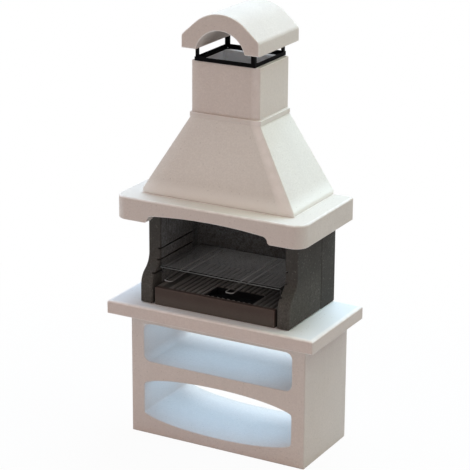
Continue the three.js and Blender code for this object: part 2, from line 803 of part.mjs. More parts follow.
function frameRing() {
  const top = frameZ + angleLeg;
  const outer = box([-frameHalf, frameFrontY, frameZ], [frameHalf, frameBackY, top]);
  const wall = angleThickness;
  const upper = box(
    [wall - frameHalf, frameFrontY + wall, frameZ + wall],
    [frameHalf - wall, frameBackY - wall, top + overrun]);
  const middle = box(
    [angleLeg - frameHalf, frameFrontY + angleLeg, frameZ - overrun],
    [frameHalf - angleLeg, frameBackY - angleLeg, top]);
  const gussets = cornerSigns.map(([, sideX, sideY]) => {
    const [x, y] = frameCorner(sideX, sideY, wall / 2);
    const triangle = outline([[x, y], [x - sideX * gussetLeg, y], [x, y - sideY * gussetLeg]]);
    return raise(triangle, frameZ, wall);
  });
  const holeRadius = anchorRadius + anchorHoleClearance;
  const holes = anchors().map(
    ([x, y]) => uprightCylinder(x, y, holeRadius, frameZ - overrun, top + overrun));
  const ring = joined([cut(outer, [upper, middle]), ...gussets]);
  return piece("cap_frame_ring", cut(ring, holes), blackSteel());
}

function capPost(name, sideX, sideY) {
  const [outerX, outerY] = frameCorner(sideX, sideY, postFoot);
  const inX = -sideX;
  const inY = -sideY;
  const shape = outline([
    [outerX, outerY],
    [outerX + inX * angleLeg, outerY],
    [outerX + inX * angleLeg, outerY + inY * angleThickness],
    [outerX + inX * angleThickness, outerY + inY * angleThickness],
    [outerX + inX * angleThickness, outerY + inY * angleLeg],
    [outerX, outerY + inY * angleLeg],
  ]);
  const bottom = frameZ + postFoot;
  const height = capZ + postSocketDepth - seatGap - bottom;
  return piece(name, raise(shape, bottom, height), blackSteel());
}

function anchorScrew(name, x, y) {
  const headZ = frameZ + postFoot;
  const tipZ = flueTopZ - anchorLength;
  const profile = [
    [0, tipZ], [anchorRadius, tipZ + anchorRadius], [anchorRadius, headZ],
    [anchorHeadRadius, headZ], [anchorHeadRadius, headZ + anchorHeadHeight / 2],
    [anchorHeadRadius / 2, headZ + anchorHeadHeight], [0, headZ + anchorHeadHeight],
  ].map(([radius, z]) => new THREE.Vector2(radius, z));
  const turned = new THREE.LatheGeometry(profile, screwSides).rotateX(Math.PI / 2);
  return piece(name, toSolid(turned.translate(x, y, 0)), zincSteel());
}

// Cap: an arched slab with straight flanks and a round arch below.
function capOutline() {
  const half = capWidth / 2;
  const centreZ = capZ + capCentreHeight;
  const quarter = Math.PI / 2;
  const boreZ = capZ + capBoreCentreHeight;
  const boreAngle = Math.asin(-capBoreCentreHeight / capBoreRadius);
  const flankX = capArcRadius * Math.sin(capFlankAngle);
  const flankZ = centreZ + capArcRadius * Math.cos(capFlankAngle);
  const sideZ = flankZ - (half - flankX) * Math.tan(capFlankAngle);
  const cornerZ = sideZ - capSideCorner;
  const cornerX = half - capSideCorner * Math.cos(capFlankAngle);
  const cornerTopZ = sideZ + capSideCorner * Math.sin(capFlankAngle);
  const shape = new THREE.Shape();
  shape.moveTo(half, capZ);
  shape.lineTo(half, cornerZ);
  shape.quadraticCurveTo(half, sideZ, cornerX, cornerTopZ);
  shape.absarc(0, centreZ, capArcRadius, quarter - capFlankAngle, quarter + capFlankAngle, false);
  shape.lineTo(-cornerX, cornerTopZ);
  shape.quadraticCurveTo(-half, sideZ, -half, cornerZ);
  shape.lineTo(-half, capZ);
  shape.absarc(0, boreZ, capBoreRadius, Math.PI - boreAngle, boreAngle, true);
  return shape;
}

function chimneyCap() {
  const rearY = flueBackY + capEndOverhang;
  const depth = flueBackY - flueFrontY + 2 * capEndOverhang;
  const slab = carryForward(capOutline(), rearY - capEdge, depth - 2 * capEdge, softened(capEdge, 2));
  const sockets = cornerSigns.map(([, sideX, sideY]) => {
    const [nearX, nearY] = frameCorner(sideX, sideY, postFoot - postSocketClearance);
    const [farX, farY] = frameCorner(sideX, sideY, postFoot + angleLeg + postSocketClearance);
    return box(
      [Math.min(nearX, farX), Math.min(nearY, farY), capZ - overrun],
      [Math.max(nearX, farX), Math.max(nearY, farY), capZ + postSocketDepth]);
  });
  return piece("chimney_cap", cut(slab, sockets), paleConcrete());
}

// Grill
const grooveFloorZ = worktopTopZ + lowestGrooveHeight;
const runnerZ = grooveFloorZ + seatGap + runnerRadius;
const grillZ = grooveFloorZ + grillRise;
const grillFrontY = worktopFrontY + grillFrontSetback;
const grillRearY = chamberBackY - grillRearGap;
const sideBarX = grillWidth / 2 - grillBarRadius;
const leftHandleX = leftHandleMargin - grillWidth / 2;
const rightHandleX = grillWidth / 2 - rightHandleMargin;
const handleZ = grillZ - grillBarRadius - handleRadius - seatGap;
const wireZ = grillZ + grillBarRadius + grillWireRadius - weldDepth;

// Front, rear and side bars with the cross wires welded on top of them.
function grillGrid() {
  const endX = grillWidth / 2;
  const bars = [grillFrontY, grillRearY].map(
    (y) => rod([[-endX, y, grillZ], [endX, y, grillZ]], grillBarRadius, 0));
  const sides = [-sideBarX, sideBarX].map(
    (x) => rod([[x, grillFrontY, grillZ], [x, grillRearY, grillZ]], grillBarRadius, 0));
  const room = grillRearY - grillFrontY;
  const count = Math.floor(room / grillWirePitch) - 1;
  const firstY = grillFrontY + (room - (count - 1) * grillWirePitch) / 2;
  const wires = Array.from({ length: count }, (_, index) => {
    const y = firstY + index * grillWirePitch;
    return rod([[-endX, y, wireZ], [endX, y, wireZ]], grillWireRadius, 0, wireSides);
  });
  return piece("grill_grid", joined([...bars, ...sides, ...wires]), bareWire());
}

function grillRunner(name, side) {
  const grooveX = side * (chamberHalf + grooveDepth - runnerSideClearance - runnerRadius);
  const topZ = grillZ - grillBarRadius - seatGap;
  const frontY = grillFrontY + runnerEndInset;
  const rearY = innerLapY - runnerEndInset;
  const corners = [
    [side * sideBarX, frontY, topZ],
    [side * sideBarX, frontY, runnerZ],
    [grooveX, frontY + runnerLead, runnerZ],
    [grooveX, rearY - runnerLead, runnerZ],
    [side * sideBarX, rearY, runnerZ],
    [side * sideBarX, rearY, topZ],
  ];
  return piece(name, rod(corners, runnerRadius, runnerBend), bareWire());
}

function grillHandle(name, centreX) {
  const left = centreX - handleWidth / 2;
  const right = centreX + handleWidth / 2;
  const tipY = mantelFrontY + handleRadius + seatGap;
  const tipZ = handleZ - handleDip;
  const corners = [
    [left, grillRearY, handleZ], [left, grillFrontY, handleZ], [left, tipY, tipZ],
    [right, tipY, tipZ], [right, grillFrontY, handleZ], [right, grillRearY, handleZ],
  ];
  return piece(name, rod(corners, handleRadius, handleBend), bareWire());
}

const barbecue = new THREE.Group();
barbecue.name = "masonry_barbecue";
const masonry = new THREE.Group();
masonry.add(
  baseBlock(), baseBed(), worktopSlab(), fireboxBed(),
  sidePanel("left_side_panel", -1), sidePanel("right_side_panel", 1), rearWall(),
  hearthBed(), hearthFascia(), mantelBed("mantel_adhesive_bed_left", -1),
  mantelBed("mantel_adhesive_bed_right", 1), mantel(), hoodBed(), hood(), flueBed(), flue());
const capFrame = new THREE.Group();
capFrame.add(frameRing(), chimneyCap());
cornerSigns.forEach(([corner, sideX, sideY]) => {
  const [x, y] = frameCorner(sideX, sideY, anchorInset);
  capFrame.add(capPost(`cap_post_${corner}`, sideX, sideY), anchorScrew(`anchor_screw_${corner}`, x, y));
});
const grill = new THREE.Group();
grill.add(
  grillGrid(), grillRunner("grill_runner_left", -1), grillRunner("grill_runner_right", 1),
  grillHandle("grill_handle_left", leftHandleX), grillHandle("grill_handle_right", rightHandleX));
barbecue.add(masonry, capFrame, ashPan(), grill);

export default barbecue;
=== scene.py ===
# %% [markdown]
# # An outdoor masonry barbecue
#
# The barbecue is a stack of pale concrete castings round a dark refractory firebox. The packed
# model gives every piece its true size and place. This lesson gives the pieces their rounded
# edges, their surfaces and their light.
#
# A casting could be sculpted, or cut out of a block with booleans. Here each one is worked out
# as a grid of points with numpy, because a mould is also made from a few outlines and radii.

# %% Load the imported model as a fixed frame
import math

import bmesh
import bpy
import numpy as np
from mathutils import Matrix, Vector
from mathutils.geometry import tessellate_polygon


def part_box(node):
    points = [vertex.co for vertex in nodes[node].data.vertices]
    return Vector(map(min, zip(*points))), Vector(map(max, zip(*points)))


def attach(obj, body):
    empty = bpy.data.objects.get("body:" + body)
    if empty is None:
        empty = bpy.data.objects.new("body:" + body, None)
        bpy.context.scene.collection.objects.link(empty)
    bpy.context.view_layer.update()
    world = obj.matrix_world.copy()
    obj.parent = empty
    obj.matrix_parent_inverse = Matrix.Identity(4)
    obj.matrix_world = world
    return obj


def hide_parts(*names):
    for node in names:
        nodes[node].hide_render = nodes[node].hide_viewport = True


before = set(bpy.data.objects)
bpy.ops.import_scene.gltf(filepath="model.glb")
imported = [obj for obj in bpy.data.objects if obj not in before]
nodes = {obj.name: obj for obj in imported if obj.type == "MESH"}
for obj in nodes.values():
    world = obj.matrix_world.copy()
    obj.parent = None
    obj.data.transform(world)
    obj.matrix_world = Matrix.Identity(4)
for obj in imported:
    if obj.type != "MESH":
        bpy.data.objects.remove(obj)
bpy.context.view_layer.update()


# %% [markdown]
# ## From a grid of points to a piece
#
# A surface with two parameters is a table of points: the rows follow one parameter and the
# columns the other. Faces join each point to its neighbours. Where the columns run round the
# object, the last column meets the first again, so the surface closes on itself.

# %% Faces of a grid
def ring_faces(rows, columns, rows_closed=False):
    """Four-cornered faces of a grid whose columns form a ring.

    The point in row i and column j has the number i * columns + j. A face takes the points
    (i, j), (i, j + 1), (i + 1, j + 1) and (i + 1, j), where j + 1 wraps round at the last column,
    and i + 1 wraps round too where the rows are closed.
    """
    i = np.arange(rows if rows_closed else rows - 1)[:, None]
    j = np.arange(columns)[None, :]
    i_next, j_next = (i + 1) % rows, (j + 1) % columns
    corners = np.broadcast_arrays(
        i * columns + j, i * columns + j_next, i_next * columns + j_next, i_next * columns + j)
    return np.stack(corners, axis=-1).reshape(-1, 4).tolist()


def capped_faces(rows, columns):
    """The same faces, with a flat one over the first row and one over the last."""
    last = (rows - 1) * columns
    return ring_faces(rows, columns) + [list(range(columns)), list(range(last, last + columns))]


def lifted(outline, z):
    """An outline at a height, or at a height for each of its points."""
    return np.column_stack([outline, np.broadcast_to(z, len(outline))])


# %% Make the mesh, smooth it, set its edges and give it its finish
SHARP = math.radians(40)


def placed(name, data):
    """A new object in the scene."""
    made = bpy.data.objects.new(name, data)
    bpy.context.scene.collection.objects.link(made)
    return made


def make_piece(name, shells, finish, slot, *replaced, body="masonry"):
    """One mesh from several closed shells, each given as (points, faces, wear).

    Wear is 1 in the middle of a rounded edge and 0 on the flats, and the finishes read it as
    real wear, and on some pieces also as a painted highlight, and on the base as painted shade. A
    shell gives it for each point, or one for all. The piece rides on a body and stands for the
    replaced nodes.
    """
    starts = np.cumsum([0] + [len(points) for points, _, _ in shells])
    wear_and_painted_light = np.concatenate([np.broadcast_to(wear_and_painted_light, len(points)) for points, _, wear_and_painted_light in shells])
    points = np.concatenate([points for points, _, _ in shells])
    faces = [[int(start) + k for k in face]
             for start, (_, part, _) in zip(starts, shells) for face in part]
    mesh = bpy.data.meshes.new(name)
    mesh.from_pydata(points.tolist(), [], faces)
    worn = mesh.attributes.new("wear_and_painted_light", "FLOAT", "POINT")
    worn.data.foreach_set("value", wear_and_painted_light.astype(np.float32))
    mesh.materials.append(finish)
    mesh.shade_smooth()
    mesh.set_sharp_from_angle(angle=SHARP)
    work = bmesh.new()
    work.from_mesh(mesh)
    bmesh.ops.recalc_face_normals(work, faces=work.faces)
    work.to_mesh(mesh)
    work.free()
    piece = placed(name, mesh)
    piece.modifiers.new("flat_faces_stay_flat", "WEIGHTED_NORMAL").keep_sharp = True
    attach(piece, body)
    if replaced:
        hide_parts(*replaced)
    print(f"{name}: {len(points)} points, {len(faces)} faces")


# %% [markdown]
# ## Outlines and rounded edges
#
# Most castings have a plan that is a rectangle with rounded corners. A mould leaves no sharp
# edge, because sharp edges chip, so each end of a wall rolls over in a quarter circle.

# %% A rectangle with rounded corners
def plan_outline(half, front, back, front_radius, back_radius=None, steps=8, depth=None, power=1):
    """Points of the plan, counter-clockwise from above, starting at the back right corner.

    Each corner is a quarter of an ellipse: centre + (width * cos a, depth * sin a), with a going
    on by a quarter turn from one corner to the next. Without a depth it is a quarter circle. The
    cosine and the sine may be raised to a power, which flattens the corner towards a chamfer, and
    its points then lie closer at both ends, where it turns most.
    """
    back_radius = front_radius if back_radius is None else back_radius
    radius = np.array([back_radius, back_radius, front_radius, front_radius])[:, None]
    deep = radius if depth is None else np.full((4, 1), depth)
    side = np.array([1, -1, -1, 1])[:, None]
    corner_y = np.array([back, back, front, front])[:, None]
    inward_y = np.array([-1, -1, 1, 1])[:, None]
    share = np.linspace(0, 1, steps + 1)
    if power != 1:
        share = (1 - np.cos(math.pi * share)) / 2
    angle = (np.arange(4)[:, None] + share[None, :]) * math.pi / 2
    x = side * (half - radius + radius * np.abs(np.cos(angle)) ** power)
    y = corner_y + inward_y * (deep - deep * np.abs(np.sin(angle)) ** power)
    return np.stack([x.ravel(), y.ravel()], axis=1)


def drawn_in(low, high, inset):
    """Half the width, the front and the back of a box in the middle, drawn in by an inset."""
    return high.x - inset, low.y + inset, high.y - inset


def arc(centre, radius, start_degrees, end_degrees, steps):
    """Points centre + radius * (cos a, sin a), with a from the start to the end."""
    angle = np.radians(np.linspace(start_degrees, end_degrees, steps))
    return np.column_stack([centre[0] + radius * np.cos(angle), centre[1] + radius * np.sin(angle)])


def curve(start, middle, end, t):
    """A quadratic curve: (1 - t)^2 start + 2 t (1 - t) middle + t^2 end."""
    t, start, middle, end = t[:, None], np.array(start), np.array(middle), np.array(end)
    return (1 - t) ** 2 * start + 2 * t * (1 - t) * middle + t ** 2 * end


# %% The quarter circle that rolls an edge over
EDGE_STEPS = 4


def roll_over(edge):
    """Rows of (inset, depth below the end face, wear) from the wall to the end face.

    With a from 0 to a quarter turn they are edge * (1 - cos a), edge * (1 - sin a) and sin 2a.
    """
    a = np.linspace(0, math.pi / 2, EDGE_STEPS + 1)
    return np.column_stack([edge * (1 - np.cos(a)), edge * (1 - np.sin(a)), np.sin(2 * a)])


def rolled_levels(outline_at, z, edge, top):
    """Levels of a wall's rolled edge at the height z. outline_at(inset) gives the plan."""
    rows = roll_over(edge) if top else roll_over(edge)[::-1]
    return [(outline_at(inset), z - depth if top else z + depth, wear_and_painted_light)
            for inset, depth, wear_and_painted_light in rows]


# %% Rings of points stacked into a block or a hollow casting
def block(levels, hollow=False, corner_highlight=None):
    """A closed shell through rings. A level is (outline, z, wear).

    A solid block is closed by a flat face at each end. In a hollow casting the last ring joins
    the first again, so the wall's own section is a closed loop. corner_highlight is a painted
    highlight, given as wear in the middle of the back right, back left, front left and front right
    corners. It fades as sin(s)^2, with s going from 0 to half a turn in a corner.
    """
    rings = np.stack([lifted(outline, z) for outline, z, _ in levels])
    rows, columns = rings.shape[:2]
    faces = ring_faces(rows, columns, rows_closed=True) if hollow else capped_faces(rows, columns)
    wear_and_painted_light = np.repeat([wear_and_painted_light for _, _, wear_and_painted_light in levels], columns)
    if corner_highlight is not None:
        fading = np.sin(np.linspace(0, math.pi, columns // 4)) ** 2
        wear_and_painted_light = np.maximum(wear_and_painted_light, np.tile(np.outer(corner_highlight, fading).ravel(), rows))
    return rings.reshape(-1, 3), faces, wear_and_painted_light


# %% [markdown]
# ## Sections carried along a straight line
#
# The base, the cap and the fascia have the same section all the way through. An outline is
# pushed inwards by the roll-over at both ends and carried from one end to the other. Holes in
# the section are outlines that run the other way round, so pushing into the material makes
# them wider: that gives the shelves their soft mouths.

# %% Carry a section along an axis
AXES = {"y": (0, 2, 1), "z": (0, 1, 2)}


def push(outline, distance):
    """The closed outline moved to its left by a distance.

    Two edges with the unit normals m and n share a corner, and the corner moves by
    distance * (m + n) / (1 + m . n), which moves both edges by the same distance.
    """
    along = np.roll(outline, -1, axis=0) - outline
    along /= np.linalg.norm(along, axis=1, keepdims=True)
    normal = np.column_stack([-along[:, 1], along[:, 0]])
    earlier = np.roll(normal, 1, axis=0)
    both = (normal + earlier) / (1 + np.sum(normal * earlier, axis=1, keepdims=True))
    return outline + distance * both


def carried(outlines, start, end, edge, along="y"):
    """A closed shell: the section's outlines carried from start to end with rolled edges.

    The first outline runs counter-clockwise and the others, its holes, run clockwise. Point j
    of ring i is the outline's point j pushed in by the ring's inset, at the ring's depth.
    """
    points, faces, worn, starts, ends, first = [], [], [], [], [], 0
    for outline in outlines:
        levels = [level for place, top in ((start, False), (end, True))
                  for level in rolled_levels(lambda inset: push(outline, inset), place, edge, top)]
        rows, columns = len(levels), len(outline)
        faces += (np.array(ring_faces(rows, columns)) + first).tolist()
        starts.append(first + np.arange(columns))
        ends.append(first + (rows - 1) * columns + np.arange(columns))
        points += [lifted(ring, place) for ring, place, _ in levels]
        worn += [wear_and_painted_light for _, _, wear_and_painted_light in levels for _ in range(columns)]
        first += rows * columns
    points = np.concatenate(points)
    for rims in (starts, ends):
        loops = [points[rim].tolist() for rim in rims]
        faces += np.concatenate(rims)[np.array(tessellate_polygon(loops))].tolist()
    return points[:, AXES[along]], faces, np.array(worn)


# %% [markdown]
# ## Rods bent along a path
#
# The grill is made of round steel rod. A bender gives each corner a small arc, and a circle
# carried along the path gives the rod its thickness.

# %% Bend a path at its corners
BEND_STEPS = 7


def bent(corners, radius):
    """The path through the corners, each inner corner replaced by an arc of the given radius.

    The arc starts radius * tan(turn / 2) before the corner. After the angle a it has gone
    radius * sin a onwards and radius * (1 - cos a) inwards.
    """
    corners = np.asarray(corners, float)
    path = [corners[:1]]
    for before, corner, after in zip(corners[:-2], corners[1:-1], corners[2:]):
        into = (corner - before) / np.linalg.norm(corner - before)
        out = (after - corner) / np.linalg.norm(after - corner)
        turn = math.acos(np.clip(into @ out, -1, 1))
        inward = out - into * (out @ into)
        inward /= np.linalg.norm(inward)
        angle = np.linspace(0, turn, BEND_STEPS)[:, None]
        start = corner - into * radius * math.tan(turn / 2)
        path.append(start + radius * (np.sin(angle) * into + (1 - np.cos(angle)) * inward))
    return np.concatenate(path + [corners[-1:]])


# %% Carry a circle along a path
CHAMFER_SHARE = 0.3


def rod(path, radius, across=(0, 0, 1), sides=12):
    """A closed rod round the path, with chamfered ends.

    Each ring is point + radius * (cos a * u + sin a * v), where u and v are square to the path,
    and u lies as near as it can to the direction called across.
    """
    path, across = np.asarray(path, float), np.asarray(across, float)
    tangent = np.gradient(path, axis=0)
    tangent /= np.linalg.norm(tangent, axis=1, keepdims=True)
    chamfer = radius * CHAMFER_SHARE
    path = np.concatenate([path[:1], path[:1] + tangent[:1] * chamfer, path[1:-1],
                           path[-1:] - tangent[-1:] * chamfer, path[-1:]])
    tangent = np.concatenate([tangent[:1], tangent, tangent[-1:]])
    u = across - tangent * (tangent @ across)[:, None]
    u /= np.linalg.norm(u, axis=1, keepdims=True)
    v = np.cross(tangent, u)
    size = np.full(len(path), radius)
    size[[0, -1]] = radius * (1 - CHAMFER_SHARE)
    angle = np.linspace(0, 2 * math.pi, sides, endpoint=False)[None, :, None]
    ring = np.cos(angle) * u[:, None] + np.sin(angle) * v[:, None]
    points = path[:, None] + size[:, None, None] * ring
    return points.reshape(-1, 3), capped_faces(len(path), sides), 0.0


# %% [markdown]
# ## Node trees
#
# A finish is a small tree of nodes. It starts from Object coordinates, which are metres on the
# real object, so that a scale of 100 means a pattern about a centimetre across. Short calls for
# the nodes keep the trees readable, and a finish is built up in coats, as paint is.

# %% Short calls for the nodes of a tree
def shade(colour, factor=1.0):
    """A colour made lighter or darker, with full alpha."""
    return tuple(min(1.0, channel * factor) for channel in colour[:3]) + (1.0,)


class Nodes:
    """A node tree, with a short call for each kind of node used here."""

    def __init__(self, tree):
        self.tree = tree

    def fill(self, node, inputs):
        """Links or sets the inputs of a node, by name or number."""
        for key, value in inputs.items():
            if isinstance(value, bpy.types.NodeSocket):
                self.tree.links.new(value, node.inputs[key])
            else:
                node.inputs[key].default_value = value

    def add(self, kind, inputs, **settings):
        """A new node with its settings and its inputs."""
        made = self.tree.nodes.new("ShaderNode" + kind)
        for key, value in settings.items():
            setattr(made, key, value)
        self.fill(made, inputs)
        return made

    def place(self, *scale):
        """Object coordinates, multiplied by a scale for each axis where one is given."""
        where = self.add("TexCoord", {}).outputs["Object"]
        return self.add("Mapping", {"Vector": where, "Scale": scale or (1, 1, 1)}).outputs["Vector"]

    def noise(self, vector, scale, detail, roughness=0.5):
        """A noise value between 0 and 1."""
        return self.add("TexNoise", {"Vector": vector, "Scale": scale, "Detail": detail,
                                     "Roughness": roughness}).outputs["Fac"]

    def spread(self, value, low, high, to_low=0.0, to_high=1.0):
        """The value moved smoothly from low..high to to_low..to_high, and held there."""
        return self.add("MapRange", {"Value": value, "From Min": low, "From Max": high,
                                     "To Min": to_low, "To Max": to_high},
                        interpolation_type="SMOOTHSTEP").outputs["Result"]

    def joined(self, first, second, how="MULTIPLY"):
        """Two numbers joined by arithmetic."""
        return self.add("Math", {0: first, 1: second}, operation=how).outputs[0]

    def mixed(self, factor, first, second):
        """Two colours mixed by a factor."""
        return self.add("Mix", {0: factor, 6: first, 7: second}, data_type="RGBA").outputs[2]

    def seen(self, *rays):
        """1 for rays of the given kinds and 0 for the others, so that they alone see a thing."""
        path = self.add("LightPath", {}).outputs
        result = path[f"Is {rays[0]} Ray"]
        for kind in rays[1:]:
            result = self.joined(result, path[f"Is {kind} Ray"], "MAXIMUM")
        return result

    def blend(self, output, factor, first, second):
        """Blends two shaders by a factor, into the named output node."""
        surface = self.add("MixShader", {0: factor, 1: first, 2: second}).outputs[0]
        self.fill(self.tree.nodes[output], {"Surface": surface})


# %% A finish, coat by coat
class Finish(Nodes):
    """A material whose colour and bumps are built up in coats."""

    def __init__(self, name, roughness, gloss=0.5, metallic=0.0):
        self.made = bpy.data.materials.new(name)
        self.made.use_nodes = True
        super().__init__(self.made.node_tree)
        self.shader = self.tree.nodes["Principled BSDF"]
        self.fill(self.shader, {"Roughness": roughness, "Specular IOR Level": gloss,
                                "Metallic": metallic})
        self.here = self.place()
        self.colour = self.normal = None

    def axes(self):
        """The Object coordinates along X, Y and Z."""
        return self.add("SeparateXYZ", {0: self.here}).outputs

    def patches(self, scale, detail, low, high, *results, rough=0.5, vector=None):
        """Noise made crisper: what lies between low and high is spread over the results."""
        vector = self.here if vector is None else vector
        return self.spread(self.noise(vector, scale, detail, rough), low, high, *results)

    def cells(self, scale):
        """Cells round scattered points: the distance to the point, and a colour for each."""
        return self.add("TexVoronoi", {"Vector": self.here, "Scale": scale}).outputs

    def worn(self):
        """The wear of the mesh, 1 in the middle of a rounded edge, which also places painted
        highlights.
        """
        return self.add("Attribute", {}, attribute_name="wear_and_painted_light").outputs["Fac"]

    def coat(self, factor, colour, strength=None):
        """Mixes a colour over the coats below it."""
        if strength is not None:
            factor = self.joined(factor, strength)
        self.colour = self.mixed(factor, self.colour, shade(colour))

    def band(self, value, low, high, colour, *results):
        """A coat that grows or fades as a value goes from low to high."""
        self.coat(self.spread(value, low, high, *results), colour)

    def bump(self, height, distance, strength):
        """A bump of a distance in metres, on top of those before it."""
        inputs = {"Height": height, "Distance": distance, "Strength": strength}
        if self.normal is not None:
            inputs["Normal"] = self.normal
        self.normal = self.add("Bump", inputs).outputs["Normal"]

    def dried(self, roughness):
        """The material, with its colour, its roughness and its bumps linked to the shader."""
        self.fill(self.shader, {"Base Color": self.colour, "Roughness": roughness,
                                "Normal": self.normal})
        return self.made


# %% [markdown]
# ## Pale cast concrete
#
# White cement with fine marble sand, cast against a smooth mould and left bare. Close up it has
# pale and darker grains, a few pin holes and a faint cloudiness where the mix settled. Its edges
# are a little lighter, where handling has rubbed them, and some edges also carry a painted
# highlight, while the base's edges carry painted shade. The hood is painted paler than the other
# castings, as painted light on its upward slopes, and paler still near its foot, as painted
# bounce light. The tops are painted lighter, as painted light from above, and the flue's bore is
# painted pale blue inside, as painted light.

# %% Pale concrete
PALE = (0.72, 0.672, 0.627)
FOOT_BOUNCE_LIGHT = (0.93, 0.945, 0.915)
BORE_LIGHT_FADE = 0.002


def pale_concrete(name, colour=PALE, foot=None, painted_top_light=None, collar=None,
                  rubbed_and_painted_light=(0.93, 0.91, 0.885), painted_bore_light=None):
    """Concrete of one colour. foot is the (lowest, highest) place of a paler band, which is painted
    bounce light. painted_top_light is the (height, colour) of a top painted lighter, as painted
    light from above. collar is the (lowest, highest) place above which the plain pale colour comes
    back, so that the hood's painted light stops at its collar. rubbed_and_painted_light is the
    colour of worn edges, which on some pieces is also a painted highlight and on the base painted
    shade. painted_bore_light is (half, middle, half the depth, colour) of painted light inside a
    flue's bore."""
    look = Finish(name, roughness=0.9, gloss=0.25)
    x, y, height = look.axes()
    clouds = look.patches(3.2, 3, 0.3, 0.7)
    streaks = look.patches(1.0, 2, 0.35, 0.75, vector=look.place(26, 26, 2.2))
    grain = look.patches(520, 3, 0.38, 0.66, rough=0.7)
    speckle = look.patches(105, 4, 0.36, 0.62, rough=0.75)
    sand, dots, pits = (look.cells(scale) for scale in (330, 46, 62))
    dark_dots = look.joined(look.spread(dots["Distance"], 0.08, 0.16, 1.0, 0.0),
                            look.spread(dots["Color"], 0.55, 0.60, 0.0, 0.5))
    level = look.spread(pits["Distance"], 0.035, 0.09)
    look.colour = look.mixed(clouds, shade(colour, 0.97), shade(colour, 1.03))
    look.coat(streaks, shade(colour, 1.06), 0.4)
    # Above the collar's foot the plain pale colour comes back, so the hood's painted light ends
    # there.
    if collar:
        look.band(height, *collar, PALE)
    look.coat(speckle, shade(colour, 0.88), 0.6)
    look.coat(grain, shade(colour, 0.93), 0.5)
    # A lighter top: painted light from above.
    if painted_top_light:
        look.band(height, painted_top_light[0] - 0.004, painted_top_light[0] - 0.001, painted_top_light[1], 0.0, 0.8)
    # A paler band near the hood's foot: painted bounce light from the mantel's top.
    if foot:
        look.band(height, *foot, FOOT_BOUNCE_LIGHT, 0.95, 0.0)
    look.coat(dark_dots, shade(colour, 0.62))
    look.band(sand["Distance"], 0.0, 0.16, shade(colour, 0.80), 0.30, 0.0)
    look.band(level, 0.0, 1.0, shade(colour, 0.5), 0.35, 0.0)
    # Edges are lighter where rubbed, and the same coat carries painted highlights, and painted
    # shade on the base.
    look.coat(look.worn(), rubbed_and_painted_light, look.patches(24, 4, 0.35, 0.70, 0.65, 1.0))
    # Pale blue inside the flue's bore: painted light.
    if painted_bore_light:
        half, middle, deep, bore_light_colour = painted_bore_light
        off_middle = look.joined(y, middle, "SUBTRACT")
        inside = [look.spread(look.joined(off, off), edge ** 2, (edge + BORE_LIGHT_FADE) ** 2, 1.0, 0.0)
                  for off, edge in ((x, half), (off_middle, deep))]
        look.coat(inside[0], bore_light_colour, inside[1])
    look.bump(grain, 0.0006, 0.5)
    look.bump(speckle, 0.0012, 0.5)
    look.bump(level, 0.0008, 0.6)
    look.bump(clouds, 0.0015, 0.4)
    return look.dried(look.spread(grain, 0, 1, 0.84, 0.96))


concrete = pale_concrete("pale_concrete", shade(PALE, 0.98))
flue_low, flue_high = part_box("flue")
FLUE_WALL = 0.042
# The flue's bore is painted pale blue inside, as painted light.
flue_concrete = pale_concrete("flue_concrete", painted_bore_light=(
    flue_high.x - FLUE_WALL, (flue_low.y + flue_high.y) / 2,
    (flue_high.y - flue_low.y) / 2 - FLUE_WALL, (0.86, 0.92, 0.96)))
# The base's edges are painted darker: painted shade.
base_concrete = pale_concrete("base_concrete", shade(PALE, 0.94), rubbed_and_painted_light=shade(PALE, 0.84))
# The hood is painted paler than the other castings, as painted light on its upward slopes, and
# paler still at its foot, as painted bounce light.
hood_concrete = pale_concrete("hood_concrete", (0.805, 0.795, 0.750), foot=(1.312, 1.385),
                              collar=(1.686, 1.691))
# The worktop's top is painted lighter and bluer, as painted sky light, and its edges carry a
# painted highlight.
worktop_concrete = pale_concrete("worktop_concrete", (0.660, 0.603, 0.563),
                                 painted_top_light=(0.725, (0.84, 0.905, 0.94)), rubbed_and_painted_light=(0.97, 0.96, 0.94))
# The mantel's top is painted a little lighter, as painted light from above.
mantel_concrete = pale_concrete("mantel_concrete", shade(PALE, 0.94),
                                painted_top_light=(1.291, (0.70, 0.665, 0.61)))
print("made the pale castings' finishes")


# %% [markdown]
# ## The dark castings
#
# The firebox is refractory concrete with a coarse dark sand, because it has to stand the heat.
# The sand drags a little as the mould is drawn off, which leaves faint upright streaks. A thin
# pale film is painted on the inner faces, as painted light reaching into the firebox, and the
# side panels are painted lighter low down, as painted light below the mantel's shadow. The hearth
# is a finer mix, painted darker in its grooves and towards its right end, as painted shade, and
# its fascia is the smoothest, greyer towards the bottom, as a painted reflection.

# %% Refractory concrete, hearth and fascia
# Where the pale film painted inside the firebox lies: painted light.
INNER_LIGHT_HALF = (0.352, 0.356)
INNER_LIGHT_FRONT = (-0.120, -0.110)
INNER_LIGHT_BACK = (0.262, 0.266)


